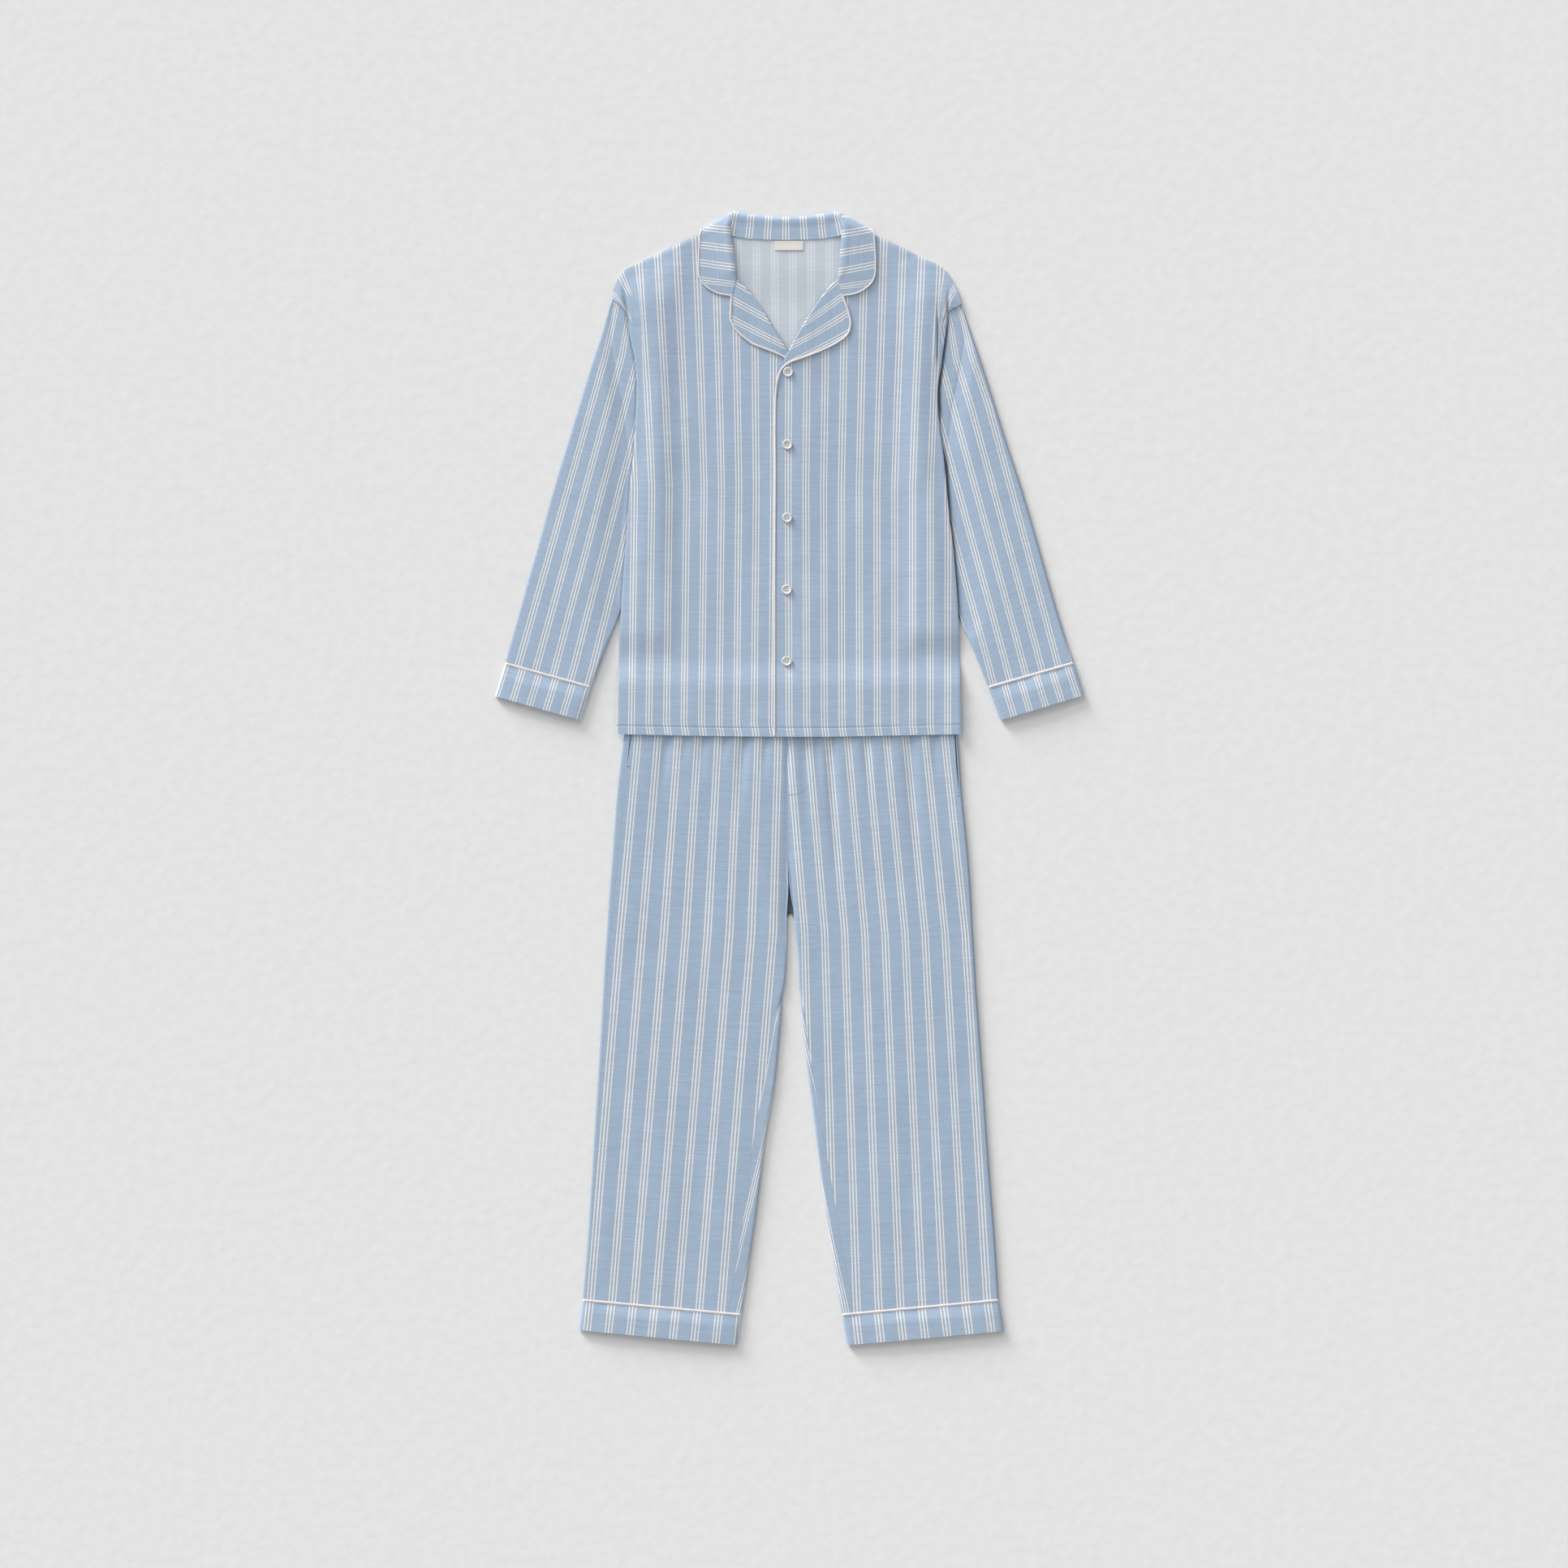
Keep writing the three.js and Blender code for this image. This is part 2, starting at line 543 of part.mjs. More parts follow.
function lapel(side) {
  const { roll, outer } = LAPEL[side];
  const front = side === "left" ? leftFrontHeight : rightFrontHeight;
  const [across, down] = [steps(4), steps(12)];
  const edges = {
    left: line(outer),
    right: line(roll),
    bottom: line([outer[0], roll[0]]),
    top: line([outer.at(-1), roll.at(-1)]),
  };
  return wall(raise(panel(edges, across, down), (x, y) => front(x, y) + TRIM_REST), TRIM);
}

// Cord on a front: its route in plan, lifted to lie on the panel beneath it
function pipingOn(points, height, radius, count) {
  const above = CLOTH / 2 + REST + radius;
  const plan = line(points);
  const route = steps(count).map(plan).map(({ x, y }) => new THREE.Vector3(x, y, height(x, y) + above));
  return cord(route, radius, count);
}

// The right lapel's piping lies just outside the lapel's outer edge
function lapelPipingRight() {
  const edge = line(LAPEL.right.outer);
  const route = steps(14, 0.02, 0.985).map((share) => {
    const [here, next] = [edge(share), edge(share + 0.01)];
    const away = new THREE.Vector3(here.y - next.y, next.x - here.x, 0).normalize();
    return here.addScaledVector(away, -EDGE_CORD - SEAM).toArray();
  });
  return pipingOn(route, rightFrontHeight, EDGE_CORD, 22);
}

// Down the front edge the cord lies on the right front. Above the break it lies on the left front.
function frontPipingLeft() {
  const height = (x, y) => mix(rightFrontHeight(x, y), leftFrontHeight(x, y), rise(y, 590, 620));
  return pipingOn(FRONT_CORD, height, EDGE_CORD, 60);
}

function neckTag() {
  const top = BACK_NECK[2][1];
  const tag = new THREE.BoxGeometry(TAG.width, TAG.height, TAG.wall);
  const height = backHeight(0, top) + CLOTH / 2 + REST + TAG.wall / 2;
  return tag.translate(-0.6, top - TAG.height / 2, height);
}

// Buttons: a dished disc with a raised rim and four holes
const BUTTON_PLACES = [[-1.9, 625.6], [-3.1, 513.8], [-3.1, 401.3], [-3.8, 290.6], [-3.8, 180.6]];

function buttonSolid() {
  const radius = BUTTON.diameter / 2;
  const { height, rim, dish } = BUTTON;
  const profile = [
    [0, 0],
    [radius - 1.6, 0],
    [radius, height * 0.45],
    [radius - 0.4, height * 0.85],
    [radius - rim / 2, height],
    [radius - rim, height - dish],
    [0, height - dish],
  ];
  const disc = new THREE.LatheGeometry(profile.map(([r, z]) => new THREE.Vector2(r, z)), 16);
  let solid = solidOf(disc.rotateX(Math.PI / 2));
  for (const [x, y] of [[1, 1], [1, -1], [-1, 1], [-1, -1]]) {
    const hole = new THREE.CylinderGeometry(BUTTON.hole / 2, BUTTON.hole / 2, 3 * height, 6);
    hole.rotateX(Math.PI / 2).translate((x * BUTTON.holeSpacing) / 2, (y * BUTTON.holeSpacing) / 2, 0);
    solid = solid.subtract(solidOf(hole));
  }
  return geometryOf(solid);
}

function solidOf(geometry) {
  const bare = geometry.clone();
  bare.deleteAttribute("normal");
  bare.deleteAttribute("uv");
  const merged = mergeVertices(bare, 1e-3);
  return new wasm.Manifold(
    new wasm.Mesh({
      numProp: 3,
      vertProperties: merged.attributes.position.array,
      triVerts: new Uint32Array(merged.index.array),
    }),
  );
}

function geometryOf(solid) {
  const mesh = solid.getMesh();
  const geometry = new THREE.BufferGeometry();
  geometry.setAttribute("position", new THREE.BufferAttribute(mesh.vertProperties, 3));
  geometry.setIndex(new THREE.BufferAttribute(mesh.triVerts, 1));
  geometry.computeVertexNormals();
  return geometry;
}

// Sleeves and cuffs

// Height of a sleeve's upper layer: full where it shows, pressed down where the body lies on it
function sleeveTop(section) {
  return (a) => mix(SLEEVE_TOP, SLEEVE_PRESSED, rise(a, section.shown - 16, section.shown - 4));
}

const HALF_CORD = SEAM_CORD.width / 2 + 2 * SEAM;

function sleeve(side) {
  const rows = SLEEVE[side];
  const sections = [towards(rows[0], rows[1], HALF_CORD), ...rows.slice(1)];
  return wall(sections.map((row) => ring(row, CLOTH, LOW, sleeveTop(row), 4, 8)), CLOTH, true);
}

// A turned band at the end of a sleeve or leg, and the piping ring in its seam
function band(seam, end) {
  const start = towards(seam, end, HALF_CORD);
  const sections = [start, between(start, end, 0.5), between(start, end, 1)];
  return wall(sections.map((row) => ring(row, TRIM, TRIM_LOW, () => HEM_TOP, 4, 6)), TRIM, true);
}

function seamPiping(seam, end) {
  const { width, wall: thickness } = SEAM_CORD;
  const bulge = 0.5;
  const sections = [-0.5, 0, 0.5].map((share) => towards(seam, end, share * width));
  const rings = sections.map((row, k) => {
    const lifted = k === 1 ? bulge : 0;
    return ring(row, thickness, thickness / 2, () => HEM_TOP + 0.1 + lifted, 4, 6);
  });
  return wall(rings, thickness, true);
}

// Trousers

const TURN = (LEG_TOP - LOW) / 2; // radius of the cloth's turn at the edge of a leg
const turnAt = (end, sign, degrees) => {
  const angle = THREE.MathUtils.degToRad(degrees);
  return [end + sign * TURN * (1 - Math.cos(angle)), LOW + TURN + TURN * Math.sin(angle)];
};

// The trouser back across one section: it wraps round to the front at the side seam and the inseam
function legBackSection(row, width) {
  const outer = CLOTH / 2;
  const inner = width - CLOTH / 2;
  const open = [8, 6, 4, 2, SEAM / 2].map((short) => [width - short, LOW]);
  const closed = [-90, -68, -47, -26, -9].map((degrees) => turnAt(inner, -1, degrees));
  const wrapped = [
    ...[-90, -30, 30, 90].map((degrees) => turnAt(inner, -1, degrees)),
    [inner - row.wrapIn, LEG_TOP],
  ];
  const innerEnd = row.open ? open : row.wrapIn ? wrapped : closed;
  return [
    [outer + row.wrapOut, LEG_TOP],
    ...[90, 30, -30].map((degrees) => turnAt(outer, 1, degrees)),
    ...steps(4, outer + TURN, innerEnd[0][0]).slice(0, -1).map((a) => [a, LOW]),
    ...innerEnd,
  ];
}

// The trouser front across one section, between the back's two wrapped edges
function legFrontSection(row, width) {
  const inner = width - CLOTH / 2;
  const inPocket = row.outY > POCKET.foot && row.outY <= POCKET.top;
  const start = CLOTH / 2 + row.wrapOut + (inPocket ? POCKET.gape : SEAM);
  const open = [4, 2, SEAM / 2].map((short) => [width - short, LEG_TOP]);
  const closed = [90, 48, 12].map((degrees) => turnAt(inner, -1, degrees));
  const gap = row.wrapIn < 7 ? 5 * SEAM : SEAM; // the seam opens a little where it comes into view
  const wrapped = [4, 2, 0].map((short) => [inner - row.wrapIn - gap - short, LEG_TOP]);
  const innerEnd = row.open ? open : row.wrapIn ? wrapped : closed;
  return [...steps(16, start, innerEnd[0][0]).slice(0, -1).map((a) => [a, LEG_TOP]), ...innerEnd];
}

// Depth of the gathers at a place on the fronts. Under the jacket they keep their depth.
function gatherDepth(x, y) {
  return GATHERS.reduce((depth, fold) => {
    const down = (GATHER_HEAD - y) / (GATHER_HEAD - fold.footY);
    const middle = mix(fold.x, fold.footX, down);
    const strength = 1 - rise(down, 0, 1);
    return Math.max(depth, fold.depth * strength * Math.exp(-(((x - middle) / fold.width) ** 2)));
  }, 0);
}

function trouserPanel(side, section, gathered) {
  const seam = LEG[side].at(-1);
  const rows = [...LEG[side].slice(0, -1), towards(seam, LEG[side].at(-2), HALF_CORD)];
  const grid = rows.map((row) => {
    const { width, place } = span(row);
    return section(row, width).map(([a, z]) => place(a, z));
  });
  if (gathered) {
    grid.flat().forEach((point) => {
      point.z -= gatherDepth(point.x, point.y) * rise(point.z, LEG_TOP - 1, LEG_TOP);
    });
  }
  return wall(grid, CLOTH);
}

function waistband() {
  const seam = { outX: LEG.right[0].outX, outY: WAIST_SEAM + SEAM, inX: LEG.left[0].outX, inY: WAIST_SEAM + SEAM };
  const top = { outX: WAIST_ENDS.right, outY: WAIST_TOP, inX: WAIST_ENDS.left, inY: WAIST_TOP };
  const sections = [seam, top].map((row) => ring(row, CLOTH, LOW, () => LEG_TOP - 0.6, 8, 8));
  return wall(sections, CLOTH, true);
}

function pocketBag(side) {
  const outline = new THREE.Shape(POCKET_BAG[side].map(([x, y]) => new THREE.Vector2(x, y)));
  const bag = new THREE.ExtrudeGeometry(outline, { depth: CLOTH, bevelEnabled: false });
  return bag.translate(0, 0, POCKET.floor);
}

// The set, with each piece as its own mesh

const FINISH = {
  cloth: { color: 0x9fb4d2, roughness: 0.9, metalness: 0 },
  trousers: { color: 0x9db5d3, roughness: 0.9, metalness: 0 },
  piping: { color: 0xe6dcd8, roughness: 0.75, metalness: 0 },
  button: { color: 0xdcdad8, roughness: 0.35, metalness: 0 },
  tag: { color: 0xe9e4dc, roughness: 0.8, metalness: 0 },
};
const set = new THREE.Group();

function add(name, geometry, finish) {
  const mesh = new THREE.Mesh(geometry, new THREE.MeshStandardMaterial(FINISH[finish]));
  mesh.name = name;
  set.add(mesh);
  return mesh;
}

add("jacket_back", jacketBack(), "cloth");
add("jacket_front_right", jacketFrontRight(), "cloth");
add("jacket_front_left", jacketFrontLeft(), "cloth");
add("collar", collar(), "cloth");
add("collar_piping", collarPiping(), "piping");
add("lapel_piping_right", lapelPipingRight(), "piping");
add("front_piping_left", frontPipingLeft(), "piping");
add("neck_tag", neckTag(), "tag");
add("waistband", waistband(), "trousers");

for (const side of ["right", "left"]) {
  add(`lapel_${side}`, lapel(side), "cloth");
  add(`sleeve_${side}`, sleeve(side), "cloth");
  add(`cuff_${side}`, band(SLEEVE[side][0], CUFF_END[side]), "cloth");
  add(`cuff_piping_${side}`, seamPiping(SLEEVE[side][0], CUFF_END[side]), "piping");
  add(`trouser_front_${side}`, trouserPanel(side, legFrontSection, true), "trousers");
  add(`trouser_back_${side}`, trouserPanel(side, legBackSection, false), "trousers");
  add(`leg_band_${side}`, band(LEG[side].at(-1), LEG_END[side]), "trousers");
  add(`leg_piping_${side}`, seamPiping(LEG[side].at(-1), LEG_END[side]), "piping");
  add(`pocket_bag_${side}`, pocketBag(side), "trousers");
}

BUTTON_PLACES.forEach(([x, y], k) => {
  const button = add(`button_${k + 1}`, buttonSolid(), "button");
  const beneath = [-1, 0, 1].map((share) => leftFrontHeight(x, y + (share * BUTTON.diameter) / 2));
  button.position.set(x, y, Math.max(...beneath) + CLOTH / 2 + REST);
});

export default set;
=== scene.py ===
# %% [markdown]
# # A striped pyjama set, laid flat
#
# The real thing is a woven cotton jacket with a notched collar, five buttons and piped edges. It lies
# over the waist of its trousers. Blender could drape it with a cloth simulation, but pressed cotton on
# a table hardly moves, and its outline has to stay where it is. So each panel here is a fine grid of
# points, cut to its outline and lifted by what lies under it.

import json
import math

import bpy
import numpy as np
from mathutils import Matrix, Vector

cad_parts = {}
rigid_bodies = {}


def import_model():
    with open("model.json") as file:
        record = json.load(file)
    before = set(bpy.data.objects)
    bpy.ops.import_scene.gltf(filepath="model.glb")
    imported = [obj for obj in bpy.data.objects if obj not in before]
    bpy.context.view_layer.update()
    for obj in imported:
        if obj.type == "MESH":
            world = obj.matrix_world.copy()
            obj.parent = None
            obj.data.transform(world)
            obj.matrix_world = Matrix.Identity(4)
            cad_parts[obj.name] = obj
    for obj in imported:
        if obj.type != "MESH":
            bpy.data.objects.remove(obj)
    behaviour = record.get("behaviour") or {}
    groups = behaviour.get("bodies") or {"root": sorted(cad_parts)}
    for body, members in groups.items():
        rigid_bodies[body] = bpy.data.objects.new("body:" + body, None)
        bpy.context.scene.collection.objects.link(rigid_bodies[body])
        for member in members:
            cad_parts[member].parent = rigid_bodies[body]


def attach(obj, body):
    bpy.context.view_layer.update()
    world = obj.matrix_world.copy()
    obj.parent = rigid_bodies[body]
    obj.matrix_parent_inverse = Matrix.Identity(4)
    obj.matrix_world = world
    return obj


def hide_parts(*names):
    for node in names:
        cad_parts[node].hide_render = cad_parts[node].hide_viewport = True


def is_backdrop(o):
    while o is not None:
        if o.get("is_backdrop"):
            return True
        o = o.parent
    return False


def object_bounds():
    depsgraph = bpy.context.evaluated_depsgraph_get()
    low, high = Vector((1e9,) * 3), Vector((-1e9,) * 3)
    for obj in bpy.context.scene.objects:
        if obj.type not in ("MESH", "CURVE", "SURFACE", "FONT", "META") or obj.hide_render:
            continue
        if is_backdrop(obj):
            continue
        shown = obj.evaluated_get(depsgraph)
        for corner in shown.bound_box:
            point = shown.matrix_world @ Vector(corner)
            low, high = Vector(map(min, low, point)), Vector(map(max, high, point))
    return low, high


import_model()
frame_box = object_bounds()
print("frame, in metres:", [tuple(round(v, 4) for v in corner) for corner in frame_box])

# %% [markdown]
# ## Camera, table and light
#
# The picture is taken from straight above. A long lens from far away keeps the hems as wide as the
# shoulders. The light is even over the whole table, so it comes from sun lamps with broad discs. They
# stand above the collar, a little to the left, one of them low: it draws the long soft shadow below each
# cuff and hem.

# %% Camera above the middle of the picture
MM = 0.001
PIXEL = 1.25  # millimetres of garment to a pixel of the photograph
PICTURE = 1932
MIDDLE = (-8.1, -8.75)  # of the picture, in the garment's own millimetres


def garment_x(pixel):
    return MIDDLE[0] + (np.asarray(pixel, float) - PICTURE / 2) * PIXEL


def garment_y(pixel):
    return MIDDLE[1] - (np.asarray(pixel, float) - PICTURE / 2) * PIXEL


camera_data = bpy.data.cameras.new("camera")
camera_data.lens = 100
camera_data.sensor_width = 36
camera = bpy.data.objects.new("camera", camera_data)
bpy.context.scene.collection.objects.link(camera)
distance = PICTURE * PIXEL * MM * camera_data.lens / camera_data.sensor_width
camera.location = (MIDDLE[0] * MM, MIDDLE[1] * MM, distance + 0.005)
camera_data.clip_end = 40
bpy.context.scene.camera = camera
print("camera height:", round(camera.location.z, 3))

# %% Soft studio light
scene = bpy.context.scene
scene.view_settings.view_transform = "Standard"
world = bpy.data.worlds.new("studio")
world.use_nodes = True
world.node_tree.nodes["Background"].inputs["Color"].default_value = (0.985, 0.992, 1.0, 1)
world.node_tree.nodes["Background"].inputs["Strength"].default_value = 0.578
scene.world = world


def sun_light(name, azimuth, elevation, disc, strength, tint):
    """A sun whose azimuth is counted clockwise from the top of the picture."""
    lamp = bpy.data.lights.new(name, "SUN")
    lamp.angle = math.radians(disc)
    lamp.energy = strength
    lamp.color = tint
    light = bpy.data.objects.new(name, lamp)
    scene.collection.objects.link(light)
    turn, tilt = math.radians(azimuth), math.radians(elevation)
    light.location = (2 * math.sin(turn) * math.cos(tilt), 2 * math.cos(turn) * math.cos(tilt), 2 * math.sin(tilt))
    light.rotation_euler = light.location.to_track_quat("Z", "Y").to_euler()
    return light


key_light = sun_light("key_light", -30, 34, 34, 1.06, (1.0, 0.992, 0.98))
low_light = sun_light("low_light", -36, 13, 20, 3.9, (1.0, 0.992, 0.98))
print("lights:", key_light.name, "and", low_light.name)

# %% [markdown]
# ## Writing materials as expressions
#
# A shader is arithmetic on values that change over a surface. A small class wraps a socket, so that a
# plain Python expression adds the Math nodes it needs. Every other node comes from one method.


# %% Sockets that can be added and multiplied
class Value:
    def __init__(self, tree, socket):
        self.tree, self.socket = tree, socket

    def node(self, kind, settings=None, **inputs):
        made = self.tree.nodes.new(kind)
        for key, setting in (settings or {}).items():
            if key == "stops":
                ramp = made.color_ramp
                while len(ramp.elements) < len(setting):
                    ramp.elements.new(0.5)
                for element, (place, colour) in zip(ramp.elements, setting):
                    element.position, element.color = place, (*colour, 1)
            else:
                setattr(made, key, setting)
        for key, value in inputs.items():
            sockets = [s for s in made.inputs if s.identifier == key or s.name.replace(" ", "_") == key]
            for one in sockets[:1]:
                if isinstance(value, Value):
                    self.tree.links.new(value.socket, one)
                else:
                    one.default_value = value
        return made

    def out(self, made, name=None):
        found = made.outputs[name] if name else next(s for s in made.outputs if s.enabled)
        return Value(self.tree, found)

    def math(self, operation, first, second=0.0):
        made = self.node("ShaderNodeMath", {"operation": operation})
        for socket, value in zip(made.inputs, (first, second)):
            if isinstance(value, Value):
                self.tree.links.new(value.socket, socket)
            else:
                socket.default_value = value
        return self.out(made)

    def __add__(self, other):
        return self.math("ADD", self, other)

    def __radd__(self, other):
        return self.math("ADD", other, self)

    def __sub__(self, other):
        return self.math("SUBTRACT", self, other)

    def __rsub__(self, other):
        return self.math("SUBTRACT", other, self)

    def __mul__(self, other):
        return self.math("MULTIPLY", self, other)

    def __rmul__(self, other):
        return self.math("MULTIPLY", other, self)

    def fraction(self):
        return self.math("FRACT", self)

    def size(self):
        return self.math("ABSOLUTE", self)

    def clamp(self):
        made = self.node("ShaderNodeMath", {"operation": "ADD", "use_clamp": True})
        self.tree.links.new(self.socket, made.inputs[0])
        made.inputs[1].default_value = 0
        return self.out(made)

    def noise(self, across, along, scale=1.0, detail=2.0, seed=0.0):
        place = self.node("ShaderNodeCombineXYZ", X=across, Y=along, Z=seed)
        made = self.node("ShaderNodeTexNoise", Vector=self.out(place), Scale=scale, Detail=detail)
        return self.out(made, "Fac")

    def ramp(self, stops):
        made = self.node("ShaderNodeValToRGB", {"stops": stops}, Fac=self)
        return self.out(made, "Color")

    def blend(self, first, second, kind="MIX"):
        made = self.node("ShaderNodeMix", {"data_type": "RGBA", "blend_type": kind})
        made.inputs[0].default_value = 1.0
        if isinstance(self, Value) and self.socket is not None:
            self.tree.links.new(self.socket, made.inputs[0])
        for socket, value in zip((made.inputs[6], made.inputs[7]), (first, second)):
            if isinstance(value, Value):
                self.tree.links.new(value.socket, socket)
            else:
                socket.default_value = (*value, 1)
        return Value(self.tree, made.outputs[2])


def new_material(name, roughness, **constants):
    """A bare material, its shader, and a Value to start expressions from."""
    material = bpy.data.materials.new(name)
    material.use_nodes = True
    shader = material.node_tree.nodes["Principled BSDF"]
    shader.inputs["Roughness"].default_value = roughness
    for key, value in constants.items():
        shader.inputs[key.replace("_", " ")].default_value = value
    return material, shader, Value(material.node_tree, None)


def cloth_coordinates(start):
    """Stripe count across the cloth, and the same unit of length along it."""
    uv = start.node("ShaderNodeUVMap", {"uv_map": "Cloth"})
    parts = start.node("ShaderNodeSeparateXYZ", Vector=start.out(uv))
    return start.out(parts, "X"), start.out(parts, "Y")


def finish_shader(material, shader, colour, height, depth):
    """Joins a colour and a height map to the shader."""
    tree = material.node_tree
    tree.links.new(colour.socket, shader.inputs["Base Color"])
    bump = colour.node("ShaderNodeBump", Height=height, Distance=depth)
    tree.links.new(bump.outputs["Normal"], shader.inputs["Normal"])
    return material


# %% [markdown]
# ## The striped cotton
#
# The stripe is woven: a group of three white lines parted by two grey ones, once every 27 mm, on a
# light blue ground. Each panel carries its own cloth coordinates, so the stripes follow its grain. The
# weft yarn is uneven, which gives the cloth its short streaks across. The stops below are shares of the
# distance from the middle of one group to half way to the next. Where a fold swallows a stripe, the
# panel's "plain" attribute fades it out. A second attribute holds painted shade, which darkens the
# colour in folds, in the crotch, beside the body where a sleeve goes under it, and along some outer edges.

# %% Striped cotton, right side and wrong side
REPEAT = 27.0  # millimetres from one group of stripes to the next


def striped_cotton(name, ground, white, grey, contrast=1.0, group=1.0):
    material, shader, start = new_material(name, 0.88, Sheen_Weight=0.12, Specular_IOR_Level=0.25)
    across, along = cloth_coordinates(start)
    streak = start.noise(across * 1.7, along * 24.0, scale=1.0, detail=3.0)
    slub = start.noise(across * 0.75, along * 9.0, scale=1.0, detail=2.0, seed=7.3)
    warp = start.noise(across * 46.0, along * 1.3, scale=1.0, detail=2.0, seed=3.1)
    cloudy = start.noise(across * 0.35, along * 0.35, scale=1.0, detail=2.0, seed=11.0)
    wander = (start.noise(across * 0.4, along * 16.0, scale=1.0, detail=2.0, seed=5.0) - 0.5) * 0.022
    from_group = (((across + wander) + 0.5).fraction() - 0.5).size() * 2.0
    stops = [(0, white), (0.05, white), (0.115, grey), (0.225, grey), (0.29, white), (0.355, white), (0.42, grey)]
    stops = [(place * group, colour) for place, colour in stops] + [(0.5 * group, ground)]
    striped = from_group.ramp(stops)
    unwoven = start.out(start.node("ShaderNodeAttribute", {"attribute_name": "plain"}), "Fac")
    in_fold = start.out(start.node("ShaderNodeAttribute", {"attribute_name": "in_fold"}), "Fac")
    pattern = unwoven.blend(striped, ground)
    dash = ((start.noise(across * 2.6, along * 30.0, scale=1.0, detail=1.0, seed=17.0) - 0.66) * 9.0).clamp()
    light = 1.0 + (streak - 0.5) * (0.24 * contrast) + (slub - 0.5) * (0.22 * contrast) - dash * 0.10
    # Painted shade: the second attribute darkens the colour here by up to 80 per cent.
    light = (light + (warp - 0.5) * (0.10 * contrast) + (cloudy - 0.5) * 0.10) * (1.0 - in_fold * 0.8)
    shade = light.node("ShaderNodeCombineColor", Red=light, Green=light, Blue=light)
    colour = start.blend(pattern, light.out(shade), "MULTIPLY")
    height = streak * 0.5 + warp * 0.4 + slub * 0.5
    return finish_shader(material, shader, colour, height, 0.00025)


GROUND = (0.343, 0.434, 0.560)
WHITE = (0.68, 0.72, 0.78)
GREY = (0.340, 0.388, 0.452)
cotton = striped_cotton("striped_cotton", GROUND, WHITE, GREY)
# The trousers' copy of the cotton has a slightly darker ground: painted shade, as the light falls off over the lower
# part of the set.
cotton_trousers_shaded = striped_cotton("striped_cotton_trousers", (0.333, 0.424, 0.545), (0.68, 0.72, 0.77), GREY, group=0.92)
cotton_inside = striped_cotton(
    "striped_cotton_inside", (0.515, 0.572, 0.63), (0.63, 0.67, 0.72), (0.55, 0.59, 0.64), 0.6
)

# %% [markdown]
# ## Piping, buttons and tape
#
# The piping is a satin bias strip over a cord, smoother and paler than the cotton. The buttons are
# resin with a pearly cloud in it. The neck tape is left plain.


# %% Trim materials
def satin_piping():
    material, shader, start = new_material("satin_piping", 0.5, Sheen_Weight=0.3)
    across, along = cloth_coordinates(start)
    twill = start.noise(across * 8.0 + along * 30.0, along * 12.0, scale=1.0, detail=2.0)
    cloudy = start.noise(across, along * 2.0, scale=1.0, detail=1.0, seed=4.0)
    shade = twill * 0.5 + cloudy * 0.5
    colour = shade.ramp([(0.25, (0.56, 0.525, 0.52)), (0.75, (0.71, 0.68, 0.67))])
    return finish_shader(material, shader, colour, twill, 0.00015)


def pearl_resin():
    material, shader, start = new_material("pearl_resin", 0.32, Coat_Weight=0.3)
    place = start.node("ShaderNodeTexCoord")
    pearl = start.node("ShaderNodeTexNoise", Vector=start.out(place, "Object"), Scale=260.0, Detail=3.0)
    pearl = start.out(pearl, "Fac")
    colour = pearl.ramp([(0.3, (0.52, 0.52, 0.53)), (0.7, (0.74, 0.74, 0.75))])
    return finish_shader(material, shader, colour, pearl, 0.00005)


def woven_tape():
    material, shader, start = new_material("woven_tape", 0.8, Sheen_Weight=0.1)
    across, along = cloth_coordinates(start)
    ribs = start.noise(across * 90.0, along * 6.0, scale=1.0, detail=2.0)
    picks = start.noise(across * 5.0, along * 60.0, scale=1.0, detail=2.0, seed=2.0)
    shade = ribs * 0.5 + picks * 0.5
    colour = shade.ramp([(0.3, (0.60, 0.58, 0.54)), (0.7, (0.76, 0.74, 0.70))])
    return finish_shader(material, shader, colour, shade, 0.0002)


def sewing_thread():
    material, shader, start = new_material("sewing_thread", 0.6, Sheen_Weight=0.2)
    place = start.node("ShaderNodeTexCoord")
    ply = start.node("ShaderNodeTexNoise", Vector=start.out(place, "Object"), Scale=900.0, Detail=1.0)
    ply = start.out(ply, "Fac")
    colour = ply.ramp([(0.3, (0.19, 0.27, 0.40)), (0.7, (0.26, 0.34, 0.48))])
    return finish_shader(material, shader, colour, ply, 0.00005)


piping = satin_piping()
resin = pearl_resin()
tape = woven_tape()
thread = sewing_thread()
print("materials:", [m.name for m in bpy.data.materials if m.users or m.use_nodes])

# %% [markdown]
# ## The table top
#
# A plain pale surface with hardly any grain takes the shadows.

# %% Table top
floor_material, floor_shader, start = new_material("pale_table", 0.9, Specular_IOR_Level=0.2)
place = start.node("ShaderNodeTexCoord")
grain = start.node("ShaderNodeTexNoise", Vector=start.out(place, "Object"), Scale=60.0, Detail=4.0)
grain = start.out(grain, "Fac")
pale = grain.ramp([(0.3, (0.73, 0.728, 0.727)), (0.7, (0.76, 0.758, 0.757))])
finish_shader(floor_material, floor_shader, pale, grain, 0.0003)

